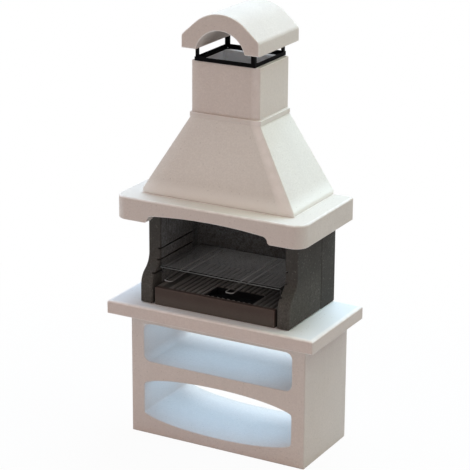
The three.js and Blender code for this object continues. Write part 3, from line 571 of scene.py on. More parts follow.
def dark_stone(name, colour, grain_scale, grain, spots, bump=0.0008, roughness=0.92, painted_inner_light=None,
               streak=None, foot=None, groove_shade=None, right_end_shade=None):
    """Dark cast stone with light spots. painted_inner_light is the (strength, colour) of a pale
    film painted on the firebox's inner faces as painted light, foot is (lowest, highest, colour) of
    a band towards the bottom, which is painted light on the side panels and a painted reflection on
    the fascia, and groove_shade is the (lowest, highest) place where the grooves are painted dark,
    as painted shade. right_end_shade is how dark the right end is painted, as painted shade."""
    look = Finish(name, roughness, gloss=0.2)
    x, y, height = look.axes()
    clouds = look.patches(6, 4, 0.3, 0.7)
    grains = look.patches(grain_scale, 4, 0.36, 0.66, rough=0.75)
    coarse = look.patches(95, 4, 0.36, 0.64, rough=0.8)
    look.colour = look.mixed(clouds, shade(colour, 0.88), shade(colour, 1.12))
    # A band towards the bottom: painted light on the side panels, a painted reflection on the
    # fascia.
    if foot:
        look.band(height, *foot, 1.0, 0.0)
    # A pale film painted on the inner faces: painted light reaching into the firebox.
    if painted_inner_light:
        beside = look.spread(look.joined(x, x), INNER_LIGHT_HALF[0] ** 2, INNER_LIGHT_HALF[1] ** 2, 1.0, 0.0)
        behind = look.joined(look.spread(y, *INNER_LIGHT_FRONT), look.spread(y, *INNER_LIGHT_BACK, 1.0, 0.0))
        patchy = look.patches(5.5, 5, 0.3, 0.75, 0.7, 1.0, rough=0.6)
        look.coat(look.joined(beside, behind), painted_inner_light[1], look.joined(patchy, painted_inner_light[0]))
    # Groove bottoms painted dark: painted shade.
    if groove_shade:
        look.band(height, *groove_shade, shade(colour, 0.22), 1.0, 0.0)
    # The right end painted darker: painted shade.
    if right_end_shade:
        look.band(x, 0.08, 0.24, shade(colour, 0.3), 0.0, right_end_shade)
    if streak:
        drag = look.patches(1.0, 3, 0.35, 0.68, rough=0.6, vector=look.place(95, 95, 13))
        look.coat(drag, shade(colour, 0.62), streak)
    look.coat(coarse, shade(colour, 0.6), grain)
    look.coat(grains, shade(colour, 0.55), grain)
    chips = look.cells(grain_scale * 0.7)["Color"]
    look.band(chips, 0.82, 0.95, shade(colour, 2.3), 0.0, spots)
    look.coat(look.worn(), shade(colour, 1.9), 0.5)
    look.bump(grains, bump, 0.6)
    look.bump(coarse, bump * 1.5, 0.5)
    look.bump(clouds, bump * 2, 0.4)
    return look.dried(look.spread(grains, 0, 1, roughness - 0.08, min(1.0, roughness + 0.06)))


DARK_SAND = (0.078, 0.076, 0.070)
# The inner faces of the rear wall and the side panels carry a pale film of painted light.
refractory = dark_stone("refractory", DARK_SAND, 260, grain=0.7, spots=0.5, streak=0.12,
                        painted_inner_light=(0.9, (0.250, 0.290, 0.315)))
# The side panels are painted lighter low down, as painted light below the mantel's shadow.
panel_refractory = dark_stone("panel_refractory", DARK_SAND, 260, grain=0.6, spots=0.5, streak=0.33,
                              painted_inner_light=(0.95, (0.36, 0.385, 0.40)),
                              foot=(0.86, 0.98, (0.118, 0.116, 0.104)))
# The hearth's grooves and its right end are painted darker, as painted shade.
hearth_stone = dark_stone("hearth_stone", (0.225, 0.232, 0.228), 380, grain=0.3, spots=0.12,
                          groove_shade=(0.8095, 0.8150), right_end_shade=0.75)
# The fascia is painted greyer towards the bottom, as a painted reflection.
fascia_stone = dark_stone("fascia_stone", (0.068, 0.050, 0.043), 520, grain=0.15, spots=0.08,
                          bump=0.0003, roughness=0.72, foot=(0.730, 0.800, (0.105, 0.095, 0.083)))
mortar = dark_stone("adhesive_mortar", (0.34, 0.325, 0.30), 420, grain=0.4, spots=0.2)
print("made the dark castings' finishes")


# %% [markdown]
# ## Steel
#
# The cap stands on black painted angle steel. The grill is drawn steel rod and wire that the
# fire has darkened, and the screws are zinc plated. Paint has a slight orange-peel surface, and
# drawn wire has fine lines along it. The grill is painted lighter towards its back, as painted
# light, and darker towards its left end, as painted shade, and the handles are painted light
# behind their front ends, as a painted highlight.

# %% Painted steel, drawn wire and zinc
def painted_steel(name, colour, roughness, gloss):
    """Painted steel, dulled a little by dust and worn to grey along its edges."""
    look = Finish(name, roughness, gloss)
    dust = look.patches(18, 5, 0.4, 0.8, 0.0, 0.35)
    look.colour = look.mixed(dust, shade(colour), shade(colour, 2.5))
    look.coat(look.worn(), (0.08, 0.08, 0.085), 0.25)
    look.bump(look.noise(look.here, 240, 2), 0.0002, 0.4)
    return look.dried(look.spread(dust, 0, 0.35, roughness - 0.05, roughness + 0.2))


def bright_steel(name, colour, roughness, lines=(3, 900, 900), metallic=1.0, lit_towards_back=None,
                 left_end_shade=(-0.34, -0.14, 0.55)):
    """Drawn or plated steel. lit_towards_back is (from, to, colour) of painted light towards the
    grill's back, and left_end_shade, which goes with it, is (from, to, strength) of painted shade
    towards its left end."""
    look = Finish(name, roughness, metallic=metallic)
    drawn = look.noise(look.place(*lines), 1.0, 3)
    look.colour = look.mixed(look.patches(14, 4, 0.35, 0.75), shade(colour), shade(colour, 0.78))
    # Painted light towards the back, and painted shade towards the left end.
    if lit_towards_back:
        x, y, _ = look.axes()
        look.band(y, *lit_towards_back)
        look.band(x, left_end_shade[0], left_end_shade[1], shade(colour, 0.5), left_end_shade[2], 0.0)
    look.bump(drawn, 0.0001, 0.3)
    return look.dried(look.spread(drawn, 0.3, 0.7, roughness - 0.08, roughness + 0.12))


black_steel = painted_steel("black_steel", (0.003, 0.003, 0.0033), 0.5, gloss=0.03)
pan_steel = painted_steel("pan_steel", (0.008, 0.009, 0.010), 0.65, gloss=0.05)
# The grill's bars are painted lighter towards the back, as painted light, and darker towards the
# left end, as painted shade.
bare_wire = bright_steel("bare_wire", (0.115, 0.115, 0.112), 0.40,
                         lit_towards_back=(-0.14, 0.16, (0.15, 0.15, 0.15)))
runner_wire = bright_steel("runner_wire", (0.05, 0.05, 0.05), 0.6, metallic=0.7)
# The handles are painted light behind their front ends, a painted highlight, and darker towards the
# left, painted shade.
handle_wire = bright_steel("handle_wire", (0.16, 0.16, 0.155), 0.50, metallic=0.4,
                           lit_towards_back=(-0.165, -0.140, (0.62, 0.63, 0.63)), left_end_shade=(-0.20, 0.0, 0.30))
# The cross wires likewise: painted light towards the back, painted shade towards the left end.
cross_wire = bright_steel("cross_wire", (0.21, 0.21, 0.21), 0.55, metallic=0.7,
                          lit_towards_back=(-0.14, 0.16, (0.43, 0.44, 0.45)))
zinc = bright_steel("zinc_steel", (0.58, 0.59, 0.60), 0.4, lines=(300, 300, 300))
print("made the steels")


# %% Finishes for the nodes that stay
KEPT = {
    panel_refractory: ["left_side_panel", "right_side_panel"],
    refractory: ["rear_wall"],
    mortar: [name for name in nodes if "adhesive" in name],
    zinc: [name for name in nodes if name.startswith("anchor_screw")],
}
for finish, names in KEPT.items():
    for name in names:
        nodes[name].data.materials.clear()
        nodes[name].data.materials.append(finish)
print("gave", sum(len(names) for names in KEPT.values()), "nodes new finishes")


# %% [markdown]
# ## The base
#
# The base is one casting with two openings that run right through, for logs and dishes. Its
# section is the same from front to back, so it is an outline with two holes carried along Y.
# The lower opening's floor and ceiling bow, as flat pieces of two ellipses.

# %% The base's section
base_low, base_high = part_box("base_block")
SIDE_WALL = 0.073
FOOT_RAIL = 0.059
LOWER_HEIGHT = 0.267
SHELF = 0.071
UPPER_HEIGHT = 0.203
BOW = 0.052
BOW_REACH = 0.021
SMALL_CORNER = 0.012
LARGE_CORNER = 0.038
BASE_CORNER = 0.003
BASE_EDGE = 0.004
opening_half = base_high.x - SIDE_WALL
lower_high = FOOT_RAIL + LOWER_HEIGHT
upper_low = lower_high + SHELF


def bowed_opening(half, low, high, corner):
    """The lower opening, clockwise. The bow at x is rise * (1 - sqrt(1 - (x / reach)^2))."""
    reach = half + BOW_REACH
    rise = BOW / (1 - math.sqrt(1 - (half / reach) ** 2))
    x = np.linspace(corner - half, half - corner, 61)
    bow = rise * (1 - np.sqrt(1 - (x / reach) ** 2))
    floor, ceiling = np.column_stack([x, low + bow]), np.column_stack([x, high - bow])[::-1]
    t = np.linspace(0, 1, 8)[1:-1]
    side = [(half, low + BOW + corner), (half, high - BOW - corner)]
    right = np.concatenate([curve(floor[-1], (half, low + BOW), side[0], t), side,
                            curve(side[1], (half, high - BOW), ceiling[0], t)])
    return np.concatenate([floor, right, ceiling, right[::-1] * (-1, 1)])[::-1]


lower = bowed_opening(opening_half, FOOT_RAIL, lower_high, SMALL_CORNER)
upper = plan_outline(opening_half, upper_low, upper_low + UPPER_HEIGHT, LARGE_CORNER, steps=12)
outer = plan_outline(base_high.x, base_low.z, base_high.z, BASE_CORNER, steps=4)
base = carried([outer, lower, upper[::-1]], base_low.y, base_high.y, BASE_EDGE)
make_piece("base_casting", [base], base_concrete, "pale_concrete", "base_block")


# %% [markdown]
# ## The worktop
#
# A plain slab, but its upper edge, which hands and hips meet, is rounded more than the lower one.

# %% The worktop
slab_low, slab_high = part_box("worktop_slab")
WORKTOP_EDGE = 0.011
UNDER_EDGE = 0.003
LIT_LIP = 0.012
LIP_HIGHLIGHT = 0.9
SLAB_CORNER = 0.004
LEAST_CORNER = 0.0015


def slab_plan(inset):
    """The worktop's plan, drawn in by an inset."""
    corner = max(SLAB_CORNER - inset, LEAST_CORNER)
    return plan_outline(*drawn_in(slab_low, slab_high, inset), corner)


slab_levels = rolled_levels(slab_plan, slab_low.z, UNDER_EDGE, top=False)
slab_levels += rolled_levels(slab_plan, slab_high.z, WORKTOP_EDGE, top=True)[:-1]
# A band along the top edge is painted lighter: a painted highlight.
slab_levels += [(slab_plan(WORKTOP_EDGE), slab_high.z, LIP_HIGHLIGHT),
                (slab_plan(WORKTOP_EDGE + LIT_LIP), slab_high.z, 0.0)]
make_piece("worktop_casting", [block(slab_levels)],
           worktop_concrete, "pale_concrete", "worktop_slab")


# %% [markdown]
# ## The hearth
#
# The fire bed has round-bottomed grooves between its ribs, so that air reaches the charcoal. Its
# top is a height for each place, and the bed is the same everywhere along Y but for the well
# that holds the ash pan. A grid of cells with the well left out gives that shape at once.

# %% Heights across the fire bed
bed_low, bed_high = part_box("hearth_bed")
pan_low, pan_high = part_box("ash_pan")
RIB_PITCH = 0.029
GROOVE_WIDTH = 0.017
GROOVE_DEPTH = 0.007
FIELD_MARGIN = 0.015
TROUGH_WIDTH = 0.054
TROUGH_DEPTH = 0.009
BED_PLATE = 0.042
BED_LEG = 0.034
BED_COLUMNS = 241
BED_RIM = 0.002
STEP_WIDTH = 1e-5
PAN_CLEARANCE = 0.001


def groove(x, centre, width, depth):
    """How far a groove reaches below the top at x: depth * (1 - (2 (x - centre) / width)^2)."""
    return depth * np.clip(1 - (2 * (x - centre) / width) ** 2, 0, None)


def bed_top(x):
    """Height of the fire bed's top at x: the flat top less the ribs' grooves and the trough."""
    field = bed_high.x - bed_low.x - 2 * FIELD_MARGIN - TROUGH_WIDTH - GROOVE_WIDTH
    last = bed_high.x - FIELD_MARGIN - GROOVE_WIDTH / 2
    centres = last - RIB_PITCH * np.arange(1 + int(field / RIB_PITCH))
    cuts = groove(x[:, None], centres[None, :], GROOVE_WIDTH, GROOVE_DEPTH).sum(axis=1)
    trough = groove(x, bed_low.x + FIELD_MARGIN + TROUGH_WIDTH / 2, TROUGH_WIDTH, TROUGH_DEPTH)
    return bed_high.z - cuts - trough


# %% Cells of the fire bed, less the well
def cells(x, y, top, bottom, empty):
    """A closed shell over a grid of cells. Empty cells are left out.

    Every filled cell has a face above and one below, and a wall wherever its neighbour is empty
    or outside the grid. Padding the grid by one empty cell finds all of those walls at once.
    """
    above, below = (np.stack(np.broadcast_arrays(x[:, None], y[None, :], z[:, None]), axis=-1)
                    .reshape(-1, 3) for z in (top, bottom))
    number = np.arange(len(above)).reshape(len(x), len(y))
    a, b, c, d = number[:-1, :-1], number[1:, :-1], number[1:, 1:], number[:-1, 1:]
    down = len(above)
    quads = [np.stack([a, b, c, d], -1)[~empty], np.stack([d, c, b, a], -1)[~empty] + down]
    filled = np.pad(~empty, 1)
    for neighbour, start, end in ((filled[:-2, 1:-1], d, a), (filled[2:, 1:-1], b, c),
                                  (filled[1:-1, :-2], a, b), (filled[1:-1, 2:], c, d)):
        wall = ~empty & ~neighbour
        s, e = start[wall], end[wall]
        quads.append(np.stack([s, s + down, e + down, e], -1))
    quads = np.concatenate(quads)
    used, faces = np.unique(quads, return_inverse=True)
    return np.concatenate([above, below])[used], faces.reshape(quads.shape).tolist(), 0.0


def within(places, low, high):
    """Which of the cells between the places lie between low and high."""
    middle = (places[1:] + places[:-1]) / 2
    return (middle > low) & (middle < high)


well_x = pan_low.x - PAN_CLEARANCE, pan_high.x + PAN_CLEARANCE
well_y = pan_low.y - PAN_CLEARANCE, pan_high.y + PAN_CLEARANCE
inner_leg = bed_high.x - BED_LEG
plate_z = bed_high.z - BED_PLATE
bed_x = np.unique(np.round(np.concatenate([
    np.linspace(bed_low.x, bed_high.x, BED_COLUMNS), well_x,
    [-inner_leg - STEP_WIDTH, -inner_leg, inner_leg, inner_leg + STEP_WIDTH]]), 6))
bed_y = np.array([bed_low.y, bed_low.y + BED_RIM, *well_y, bed_high.y - BED_RIM, bed_high.y])
bed_bottom = np.where(np.abs(bed_x) > inner_leg + STEP_WIDTH / 2, bed_low.z, plate_z)
well = within(bed_x, *well_x)[:, None] & within(bed_y, *well_y)[None, :]
bed = cells(bed_x, bed_y, bed_top(bed_x), bed_bottom, well)

# %% The ledge that the ash pan hangs on
SHEET = 0.002
PAN_FLANGE = 0.006
WELL_CORNER = 0.001
LEDGE_OVERLAP = 0.0005
JOINT_GAP = 0.0003
pan_middle = (pan_low.x + pan_high.x) / 2
pan_half = (pan_high.x - pan_low.x) / 2
ledge_top = pan_high.z - SHEET - JOINT_GAP


def pan_plan(inset, corner, steps=5):
    """The pan's plan, drawn in from the flange's edge."""
    return plan_outline(pan_half - inset, pan_low.y + inset, pan_high.y - inset, corner,
                        steps=steps) + (pan_middle, 0)


ledge_outer, ledge_inner = (pan_plan(inset - PAN_CLEARANCE, WELL_CORNER, steps=8)
                            for inset in (-LEDGE_OVERLAP, PAN_FLANGE))
ledge = block([(ledge_outer, plate_z, 0), (ledge_outer, ledge_top, 0),
               (ledge_inner, ledge_top, 0), (ledge_inner, plate_z, 0)], hollow=True)
make_piece("fire_bed", [bed, ledge], hearth_stone, "hearth_stone", "hearth_bed")

# %% The fascia in front of the fire bed
fascia_low, fascia_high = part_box("hearth_fascia")
FASCIA_CORNER = 0.003
FASCIA_EDGE = 0.0035
fascia_plan = plan_outline(fascia_high.x, fascia_low.z, fascia_high.z, FASCIA_CORNER, steps=3)
make_piece("fire_bed_fascia", [carried([fascia_plan], fascia_low.y, fascia_high.y, FASCIA_EDGE)],
           fascia_stone, "fascia_stone", "hearth_fascia")


# %% [markdown]
# ## The ash pan
#
# A shallow pan folded from thin sheet, which hangs in the well by its flange. A folded corner is
# never square, so every bend has a small radius. The surface runs over the floor, up the wall,
# out over the flange and down again on the outside.

# %% The ash pan
BEND = 0.004
LIP_BEND = 0.0015
PAN_CORNER = 0.006
RIM_CORNER = 0.004
BURR = 0.0006


def bend_levels(inset, corner_z, radius, turn=1):
    """A quarter circle between the pan's wall and a level face. The turn is -1 for a bend that
    leads outwards at the top, and 1 for one that leads inwards at the bottom."""
    angle = np.linspace(0, math.pi / 2, 5)
    shift, lift = turn * radius * (1 - np.cos(angle)), turn * radius * (1 - np.sin(angle))
    return [(pan_plan(inset + s, PAN_CORNER), corner_z + h, 0.0) for s, h in zip(shift, lift)]


inside = bend_levels(PAN_FLANGE + SHEET, pan_low.z + SHEET, BEND)[::-1]
lip = bend_levels(PAN_FLANGE + SHEET, pan_high.z, LIP_BEND, turn=-1)
rim = [(pan_plan(BURR, RIM_CORNER), pan_high.z, 0.6),
       (pan_plan(0, RIM_CORNER), pan_high.z - BURR, 1.0),
       (pan_plan(0, RIM_CORNER), pan_high.z - SHEET + BURR * 2 / 3, 0.4),
       (pan_plan(BURR, RIM_CORNER), pan_high.z - SHEET, 0.0),
       (pan_plan(PAN_FLANGE, PAN_CORNER), pan_high.z - SHEET, 0.0)]
outside = bend_levels(PAN_FLANGE, pan_low.z, BEND)
make_piece("ash_pan_folded", [block(inside + lip + rim + outside)],
           pan_steel, "black_steel", "ash_pan", body="ash_pan")


# %% [markdown]
# ## The mantel
#
# The mantel is a thick slab with a cavity below, an arch cut through its front apron and an
# opening for the smoke. All of these follow the same way round the casting, so the mantel is one
# ring of sections: up the outside, over the top, down the smoke opening, out under the plate and
# down the cavity's wall. Only the height of the lower edge changes, and that draws the arch.

# %% The arch in the apron
mantel_low, mantel_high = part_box("mantel")
chamber_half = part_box("right_side_panel")[0].x
APRON = 0.062
REAR_RAIL = 0.034
PLATE = 0.038
ARCH_RISE = 0.055
ARCH_SAG = 0.017
SHOULDER_MARGIN = 0.047
SHOULDER_RADIUS = 0.030
EAR_MARGIN = 0.007


def apron_arch():
    """The arch from left to right as (x, height over the mantel's lower face).

    A flat arc of the sag falls away to both sides, a quarter circle forms each shoulder, and a
    short slope leads out to the ear.
    """
    shoulder, ear = chamber_half - SHOULDER_MARGIN, chamber_half - EAR_MARGIN
    radius = (shoulder ** 2 + ARCH_SAG ** 2) / (2 * ARCH_SAG)
    x = np.linspace(0, shoulder, 25)
    top = np.column_stack([x, ARCH_RISE - radius + np.sqrt(radius ** 2 - x ** 2)])
    turn = arc((shoulder, ARCH_RISE - ARCH_SAG - SHOULDER_RADIUS), SHOULDER_RADIUS, 90, 0, 9)[1:]
    right = np.concatenate([top, turn, [(ear, 0.0)]])
    return np.concatenate([right[:0:-1] * (-1, 1), right])


arch = apron_arch()
print("the arch has", len(arch), "points and rises", round(float(arch[:, 1].max()) * 1000), "mm")


# %% The mantel's rings
hood_low, hood_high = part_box("hood")
MANTEL_CORNER = 0.067
MANTEL_BACK_CORNER = 0.006
LEAST_BACK_CORNER = 0.002
MANTEL_EDGE = 0.012
LIP = 0.0035
HOOD_WALL = 0.045
SMOKE_MARGIN = 0.033
SMOKE_CORNER = 0.015
CAVITY_CORNER = 0.006
RING_STEPS = 10
ARCH_START = 3 * (RING_STEPS + 1)


def mantel_ring(half, front, back, front_radius, back_radius):
    """A plan with the arch's places along its front edge between the two front corners."""
    plan = plan_outline(half, front, back, front_radius, back_radius, steps=RING_STEPS)
    places = np.clip(arch[:, 0], -(half - front_radius), half - front_radius)
    return np.concatenate([plan[:ARCH_START], lifted(places[:, None], front), plan[ARCH_START:]])


def mantel_outer(inset):
    """The mantel's outside, drawn in by an inset."""
    return mantel_ring(*drawn_in(mantel_low, mantel_high, inset), MANTEL_CORNER - inset,
                       max(MANTEL_BACK_CORNER - inset, LEAST_BACK_CORNER))


def cavity_ring(grown):
    """The cavity's plan, widened a little where its lower edge rolls over."""
    return mantel_ring(chamber_half + grown, mantel_low.y + APRON - grown,
                       mantel_high.y - REAR_RAIL + grown, CAVITY_CORNER, SMOKE_CORNER)


# %% The mantel
smoke_ring = mantel_ring(hood_high.x - HOOD_WALL - SMOKE_MARGIN, hood_low.y + HOOD_WALL,
                         hood_high.y - HOOD_WALL, SMOKE_CORNER, SMOKE_CORNER)
lower_edge = np.full(len(smoke_ring), mantel_low.z)
lower_edge[ARCH_START:ARCH_START + len(arch)] += arch[:, 1]
ceiling_z = mantel_high.z - PLATE
mantel_levels = rolled_levels(mantel_outer, lower_edge, LIP, top=False)
mantel_levels += rolled_levels(mantel_outer, mantel_high.z, MANTEL_EDGE, top=True)
mantel_levels += [(smoke_ring, mantel_high.z, 0.0), (smoke_ring, ceiling_z, 0.0),
                  (cavity_ring(0), ceiling_z, 0.0)]
mantel_levels += rolled_levels(cavity_ring, lower_edge, LIP, top=False)[::-1]
make_piece("mantel_casting", [block(mantel_levels, hollow=True)],
           mantel_concrete, "pale_concrete", "mantel")


# %% [markdown]
# ## The hood and the flue
#
# The hood narrows from the mantel to the flue and ends in a low collar. Both are hollow: the
# section of the wall is a closed loop, and it goes once round the plan.

# %% Plans of the hood and the flue
HOOD_SKIRT = 0.020
SKIRT_LEAN = 0.002
FOOT_CORNER = (0.078, 0.016)
HOOD_INNER_CORNER = (0.012, 0.012)
COLLAR_HEIGHT = 0.026
COLLAR_STEP = 0.009
COLLAR_CORNER = (0.054, 0.010)
FLUE_CORNER = (0.048, 0.008)
BORE_CORNER = (0.018, 0.018)
CORNER_POWER = 1.4
# A painted highlight on the hood's and the flue's corners, strongest at the front right, where the
# light falls.
CORNER_HIGHLIGHT = np.array([0.15, 0.10, 0.05, 1.0])


def between(low_plan, high_plan, share):
    """A plan part of the way from one to another."""
    return tuple((1 - share) * a + share * b for a, b in zip(low_plan, high_plan))


def outline_of(plan, inset=0.0):
    """The outline of a plan (half, front, back, corner's width, corner's depth), less an inset."""
    half, front, back, wide, deep = plan
    return plan_outline(half - inset, front + inset, back - inset, max(wide - inset, wide / 2),
                        steps=12, depth=max(deep - inset, deep / 2), power=CORNER_POWER)


def rolled_plan(plan, z, edge, top):
    """Levels of a rolled edge round a plan."""
    return rolled_levels(lambda inset: outline_of(plan, inset), z, edge, top)


hood_foot = (*drawn_in(hood_low, hood_high, 0), *FOOT_CORNER)
hood_inner = (*drawn_in(hood_low, hood_high, HOOD_WALL), *HOOD_INNER_CORNER)
collar = (*drawn_in(flue_low, flue_high, -COLLAR_STEP), *COLLAR_CORNER)
flue_plan = (*drawn_in(flue_low, flue_high, 0), *FLUE_CORNER)
bore = (*drawn_in(flue_low, flue_high, FLUE_WALL), *BORE_CORNER)

# %% The hood
HOOD_FOOT_EDGE = 0.004
SOFTEN = 0.006
CREASE = 0.003
CREASE_RISE = 0.001
COLLAR_EDGE = 0.003
LEDGE_REACH = 0.014
LEDGE_HIGHLIGHT = 0.3
skirt_z = hood_low.z + HOOD_SKIRT
shoulder_z = hood_high.z - COLLAR_HEIGHT
shares = np.concatenate([[0.0], np.linspace(0.02, 0.98, 9), [1.0]])
hood_levels = rolled_plan(hood_foot, hood_low.z, HOOD_FOOT_EDGE, top=False)
hood_levels += [(outline_of(hood_foot, SKIRT_LEAN * 0.4), skirt_z - SOFTEN, 0.0)]
hood_levels += [(outline_of(between(hood_foot, collar, s), SKIRT_LEAN * (1 - s) + CREASE * s),
                 (1 - s) * skirt_z + s * shoulder_z, 0.0) for s in shares]
hood_levels += [(outline_of(collar, CREASE), shoulder_z + CREASE_RISE, 0.0),
                (outline_of(collar), shoulder_z + CREASE, 0.0)]
hood_levels += rolled_plan(collar, hood_high.z, COLLAR_EDGE, top=True)[:-1]
# The collar's top ledge is painted lighter: a painted highlight.
hood_levels += [(outline_of(collar, COLLAR_EDGE), hood_high.z, LEDGE_HIGHLIGHT),
                (outline_of(collar, LEDGE_REACH), hood_high.z, LEDGE_HIGHLIGHT),
                (outline_of(bore), hood_high.z, 0.0), (outline_of(bore), shoulder_z, 0.0),
                (outline_of(hood_inner), skirt_z, 0.0), (outline_of(hood_inner), hood_low.z, 0.0)]
make_piece("hood_casting", [block(hood_levels, hollow=True, corner_highlight=CORNER_HIGHLIGHT)],
           hood_concrete, "pale_concrete", "hood")

# %% The flue
FLUE_EDGE = 0.004
FLUE_FOOT_EDGE = 0.0008
flue_levels = rolled_plan(flue_plan, flue_low.z, FLUE_FOOT_EDGE, top=False)
flue_levels += rolled_plan(flue_plan, flue_high.z, FLUE_EDGE, top=True)
flue_levels += [(outline_of(bore), flue_high.z, 0.0), (outline_of(bore), flue_low.z, 0.0)]
make_piece("flue_casting", [block(flue_levels, hollow=True, corner_highlight=CORNER_HIGHLIGHT * 0.4)],
           flue_concrete, "pale_concrete", "flue")

# %% The mortar under the flue and under the hood, pointed neatly
BED_RECESS = 0.0002
BED_BULGE = 0.0015
POINTING = 0.0015


def flush_bed(name, outer, inner, below, above, foot, wear_and_painted_light):
    """A ring of mortar between two castings. Its foot stands out a little, as pointing does."""
    low, high = below + JOINT_GAP, above - JOINT_GAP
    inner_ring = outline_of(inner, -BED_BULGE)
    levels = [(outline_of(outer, -foot), low, wear_and_painted_light),
              (outline_of(outer, BED_RECESS), high, wear_and_painted_light * 0.8),
              (inner_ring, high, 0.0), (inner_ring, low, 0.0)]
    make_piece(f"{name}_flush", [block(levels, hollow=True)], concrete, "adhesive_mortar", name)


flush_bed("flue_adhesive_bed", flue_plan, bore, hood_high.z, flue_low.z, foot=0.007, wear_and_painted_light=0.0)
pointed = (*drawn_in(hood_low, hood_high, POINTING), *FOOT_CORNER)
# The hood's pointing is painted lighter, as painted light over the shade in the joint.
flush_bed("hood_adhesive_bed", pointed, hood_inner, mantel_high.z, hood_low.z,
          foot=0.004, wear_and_painted_light=1.0)


# %% [markdown]
# ## The cap and its steel frame
#
# The cap keeps rain out of the flue. Its section is an arch with straight flanks over a round
# opening, carried from front to back. It stands on four posts of angle steel, welded to a ring
# of the same angle with a triangular plate in each corner.

# %% The cap's section
cap_low, cap_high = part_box("chimney_cap")
ARCH_RADIUS = 0.2056
ARCH_CENTRE = -0.0225
FLANK_DEGREES = 41.5
BORE_RADIUS = 0.137
BORE_CENTRE = -0.036
SIDE_CORNER = 0.012
CAP_EDGE = 0.006


def cap_section():
    """Half of the cap's outline mirrored: a foot, a side, a rounded corner, a straight flank that
    touches the arch's circle, the arch, and the round opening's circle below."""
    half, flank = cap_high.x, math.radians(FLANK_DEGREES)
    touch_x = ARCH_RADIUS * math.sin(flank)
    side_z = ARCH_CENTRE + ARCH_RADIUS * math.cos(flank) - (half - touch_x) * math.tan(flank)
    up_flank = (half - SIDE_CORNER * math.cos(flank), side_z + SIDE_CORNER * math.sin(flank))
    corner = curve((half, side_z - SIDE_CORNER), (half, side_z), up_flank, np.linspace(0, 1, 7))
    crown = arc((0, ARCH_CENTRE), ARCH_RADIUS, 90 - FLANK_DEGREES, 90, 22)
    opening_start = math.degrees(math.asin(-BORE_CENTRE / BORE_RADIUS))
    opening = arc((0, BORE_CENTRE), BORE_RADIUS, 90, opening_start, 26)
    right = np.concatenate([[(half, 0.0)], corner, crown])
    left, inner_left = right[-2::-1] * (-1, 1), opening[::-1] * (-1, 1)
    return np.concatenate([right, left, inner_left, opening[1:]]) + (0, cap_low.z)


make_piece("cap_casting", [carried([cap_section()], cap_low.y, cap_high.y, CAP_EDGE)],
           concrete, "pale_concrete", "chimney_cap")

# %% The ring of angle steel
ring_low, ring_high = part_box("cap_frame_ring")
LEG = 0.020
STEEL = 0.003
ROOT = 0.002
STEEL_EDGE = 0.0008
CUT_EDGE = 0.0006
GUSSET = 0.052
CORNERS = {"front_left": (-1, -1), "front_right": (1, -1),
           "rear_left": (-1, 1), "rear_right": (1, 1)}


def angle_section():
    """The angle's section as (distance in from the outer face, height): an L with a rounded root,
    which is the same when the two are swapped."""
    leg = [(STEEL_EDGE / 2, 0.0), (LEG - STEEL_EDGE, 0.0), (LEG, STEEL_EDGE),
           (LEG, STEEL - STEEL_EDGE), (LEG - STEEL_EDGE, STEEL)]
    root = arc((STEEL + ROOT, STEEL + ROOT), ROOT, 180, 270, 5)
    return np.concatenate([leg, root[::-1], [(z, x) for x, z in leg[::-1]]])


def mitred_ring():
    """The section carried round the rectangle. At a corner, a point that lies d in from the outer
    face is d in from both sides, which is the cut that a welder makes at 45 degrees."""
    d, height = angle_section().T
    x = (ring_high.x - d)[:, None] * np.array([1, -1, -1, 1])
    y = np.stack([ring_high.y - d, ring_high.y - d, ring_low.y + d, ring_low.y + d], axis=1)
    z = np.broadcast_to((ring_low.z + height)[:, None], x.shape)
    points = np.stack([x, y, z], axis=-1)
    return points.reshape(-1, 3), ring_faces(*x.shape, rows_closed=True), 0.0


def corner_shape(points, side, end, distance):
    """Points given as distances inwards from a place inside a corner of the ring, the same
    distance from both sides, and turned so that they run counter-clockwise."""
    start = (side * (ring_high.x - distance),
             ring_low.y + distance if end < 0 else ring_high.y - distance)
    shape = np.array(points) * (-side, -end) + start
    return shape if side * end > 0 else shape[::-1]


def gusset(side, end):
    """A triangular plate in a corner, with its edges slightly rounded."""
    triangle = corner_shape([(0, 0), (GUSSET, 0), (0, GUSSET)], side, end, STEEL / 2)
    return carried([triangle], ring_low.z, ring_low.z + STEEL, CUT_EDGE, along="z")


make_piece("cap_frame_welded", [mitred_ring()] + [gusset(*signs) for signs in CORNERS.values()],
           black_steel, "black_steel", "cap_frame_ring")

# %% The four posts
POST_SECTION = [(0, 0), (LEG, 0), (LEG, STEEL), (STEEL, STEEL), (STEEL, LEG), (0, LEG)]
for corner, signs in CORNERS.items():
    name = f"cap_post_{corner}"
    post_low, post_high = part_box(name)
    shape = corner_shape(POST_SECTION, *signs, STEEL + JOINT_GAP)
    make_piece(f"{name}_angle", [carried([shape], post_low.z, post_high.z, CUT_EDGE, along="z")],
               black_steel, "black_steel", name)


# %% [markdown]
# ## The grill
#
# Four bars form the frame and thin wires lie across them. Two bent rods under the frame carry it
# in the grooves of the side panels, and two loops of rod are the handles.

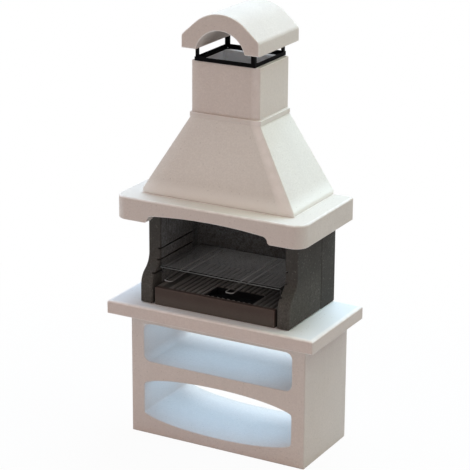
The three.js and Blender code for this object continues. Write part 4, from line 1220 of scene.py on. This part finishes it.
# %% Frame bars and cross wires
grid_low, grid_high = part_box("grill_grid")
BAR = 0.0035
WIRE = 0.0011
WIRE_DROP = 0.002
WIRE_PITCH = 0.013
bar_z = grid_low.z + BAR
wire_z = grid_high.z - WIRE_DROP
front_y, rear_y = grid_low.y + BAR, grid_high.y - BAR
side_x = grid_high.x - BAR
across_x = (grid_low.x, 0, grid_high.x)
bars = [rod([(x, y, bar_z) for x in across_x], BAR) for y in (front_y, rear_y)]
bars += [rod([(x, y, bar_z) for y in (front_y, 0, rear_y)], BAR) for x in (-side_x, side_x)]
wire_count = int((rear_y - front_y) / WIRE_PITCH) - 1
first_y = front_y + (rear_y - front_y - (wire_count - 1) * WIRE_PITCH) / 2
wires = [rod([(x, y, wire_z) for x in across_x], WIRE, sides=10)
         for y in first_y + WIRE_PITCH * np.arange(wire_count)]
make_piece("grill_frame_bars", bars, bare_wire, "bare_wire", "grill_grid", body="grill")
make_piece("grill_cross_wires", wires, cross_wire, "bare_wire", body="grill")
print(wire_count, "cross wires")

# %% Runners in the grooves
RUNNER = 0.003
LEAD = 0.018
RUNNER_BEND = 0.007
for side, name in ((-1, "grill_runner_left"), (1, "grill_runner_right")):
    low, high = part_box(name)
    groove_x = (low.x + RUNNER) if side < 0 else (high.x - RUNNER)
    bar_x = side * side_x
    low_z, top_z = low.z + RUNNER, high.z
    y0, y1 = low.y + RUNNER, high.y - RUNNER
    path = bent([(bar_x, y0, top_z), (bar_x, y0, low_z), (groove_x, y0 + LEAD, low_z),
                 (groove_x, y1 - LEAD, low_z), (bar_x, y1, low_z), (bar_x, y1, top_z)], RUNNER_BEND)
    make_piece(f"{name}_rod", [rod(path, RUNNER, across=(1, -0.3, 0))],
               runner_wire, "bare_wire", name, body="grill")

# %% Handles
HANDLE = 0.003
HANDLE_BEND = 0.012
for name in ("grill_handle_left", "grill_handle_right"):
    low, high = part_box(name)
    left_x, right_x = low.x + HANDLE, high.x - HANDLE
    tip_y, tip_z, level_z = low.y + HANDLE, low.z + HANDLE, high.z - HANDLE
    half_loop = [(high.y, level_z), (front_y, level_z), (tip_y, tip_z)]
    path = [(left_x, y, z) for y, z in half_loop] + [(right_x, y, z) for y, z in half_loop[::-1]]
    make_piece(f"{name}_rod", [rod(bent(path, HANDLE_BEND), HANDLE)],
               handle_wire, "bare_wire", name, body="grill")


# %% [markdown]
# ## The camera
#
# The photograph was taken from the front right and a little above, with a long lens. The place
# and the lens were worked out from the object's own straight edges.

# %% Camera
AZIMUTH = math.radians(29.68)
ELEVATION = math.radians(18.31)
DISTANCE = 9.8658
TARGET = np.array([-0.19767, 0.0065, 1.08272])
back = np.array([math.sin(AZIMUTH) * math.cos(ELEVATION), -math.cos(AZIMUTH) * math.cos(ELEVATION),
                 math.sin(ELEVATION)])
camera_data = bpy.data.cameras.new("camera")
camera_data.sensor_width = 36
camera_data.lens = 151.60
camera_data.shift_x = 0.07426
camera_data.shift_y = -0.01319
camera = placed("camera", camera_data)
camera.location = TARGET + back * DISTANCE
camera.rotation_euler = Vector(-back).to_track_quat("-Z", "Y").to_euler()
bpy.context.scene.camera = camera
print("camera at", [round(v, 3) for v in camera.location])


# %% [markdown]
# ## Floor, backdrop and light
#
# A product photograph stands on white. The floor is a pale surface that takes the object's soft
# shadow, and the sky behind it is white for the camera and for reflections only. A large cool
# lamp above and behind gives the shape, and smaller ones fill the sides, all low enough that no
# pale face turns plain white from any side. Two flat panels under the ceilings of the shelves
# make them glow a little, as the photographer's white backdrop does, and a low one in front
# gives back the light that a white floor throws on the foot of the base.

# %% Floor
FLOOR = 40.0
FLOOR_Z = -0.0005
WHITE = (1, 1, 1, 1)
floor_mesh = bpy.data.meshes.new("floor")
floor_corners = [(x * FLOOR, y * FLOOR, FLOOR_Z) for x, y in ((-1, -1), (1, -1), (1, 1), (-1, 1))]
floor_mesh.from_pydata(floor_corners, [], [(0, 1, 2, 3)])
placed("floor", floor_mesh)
pale = Finish("pale_floor", roughness=1.0, gloss=0.0)
pale.fill(pale.shader, {"Base Color": (0.62, 0.62, 0.62, 1)})
glow = pale.add("Emission", {"Color": WHITE, "Strength": 1.0}).outputs[0]
object_place = pale.add("TexCoord", {}).outputs["Object"]
away = pale.add("VectorMath", {0: object_place}, operation="LENGTH").outputs["Value"]
share = pale.joined(pale.seen("Camera", "Glossy"), pale.spread(away, 1.0, 3.0, 0.95, 1.0))
pale.blend("Material Output", share, pale.shader.outputs[0], glow)
floor_mesh.materials.append(pale.made)

# %% World
world = bpy.data.worlds.new("studio")
bpy.context.scene.world = world
world.use_nodes = True
sky = Nodes(world.node_tree)
ambient = sky.tree.nodes["Background"]
sky.fill(ambient, {"Color": (1.0, 0.765, 0.68, 1), "Strength": 0.535})
white = sky.add("Background", {"Color": WHITE, "Strength": 1.0}).outputs[0]
visible = sky.seen("Camera", "Glossy", "Transmission")
sky.blend("World Output", visible, ambient.outputs[0], white)


# %% Lamps
def lamp(name, place, aim, size, power, colour, mirrored=True):
    """A rectangular area lamp, (width, height) in size, aimed at a point. The camera doesn't see
    it, and a lamp that isn't mirrored doesn't show in reflections either."""
    data = bpy.data.lights.new(name, "AREA")
    data.shape = "RECTANGLE"
    data.size, data.size_y = size
    data.energy, data.color = power, colour
    made = placed(name, data)
    made.location = place
    made.rotation_euler = (Vector(aim) - Vector(place)).to_track_quat("-Z", "Y").to_euler()
    made.visible_camera, made.visible_glossy = False, mirrored


MIDDLE = (0, 0, 1.1)
SHELF_SIZE = (0.74, 0.42)
SHELF_LIGHT = (0.39, 0.69, 1.0)
lamp("sky_panel", (0.0, 4.2, 8.3), MIDDLE, (4.2, 4.2), 655, (0.60, 0.80, 1.0))
lamp("right_panel", (2.8, 1.0, 8.4), MIDDLE, (3.5, 3.5), 122, (0.88, 1.0, 0.84))
lamp("high_right_panel", (5.0, 1.6, 6.8), MIDDLE, (3.5, 3.5), 96, (0.65, 1.0, 0.89))
lamp("high_left_panel", (-5.0, 1.6, 7.2), MIDDLE, (3.5, 3.5), 72, (0.25, 0.62, 1.0))
lamp("left_panel", (-7.7, 0.4, 3.2), MIDDLE, (4.2, 4.2), 258, (0.81, 0.93, 0.98))
lamp("front_fill", (0.5, -4.2, 0.5), (0, 0, 0.7), (4.0, 1.0), 8, (1.0, 0.80, 0.75))
for name, x, y, height, power in (("upper_shelf_panel", -0.05, 0.02, 0.597, 1.15),
                                  ("lower_shelf_panel", -0.03, 0.03, 0.272, 1.44)):
    lamp(name, (x, y, height), (x, y, 0), SHELF_SIZE, power, SHELF_LIGHT, mirrored=False)
lamp("foot_light", (0.0, -1.5, 0.12), (0, 0, 0), (1.8, 0.15), 1.35, (1.0, 0.68, 0.60),
     mirrored=False)
bpy.context.scene.view_settings.view_transform = "Standard"
print(len(bpy.data.lights), "lamps")
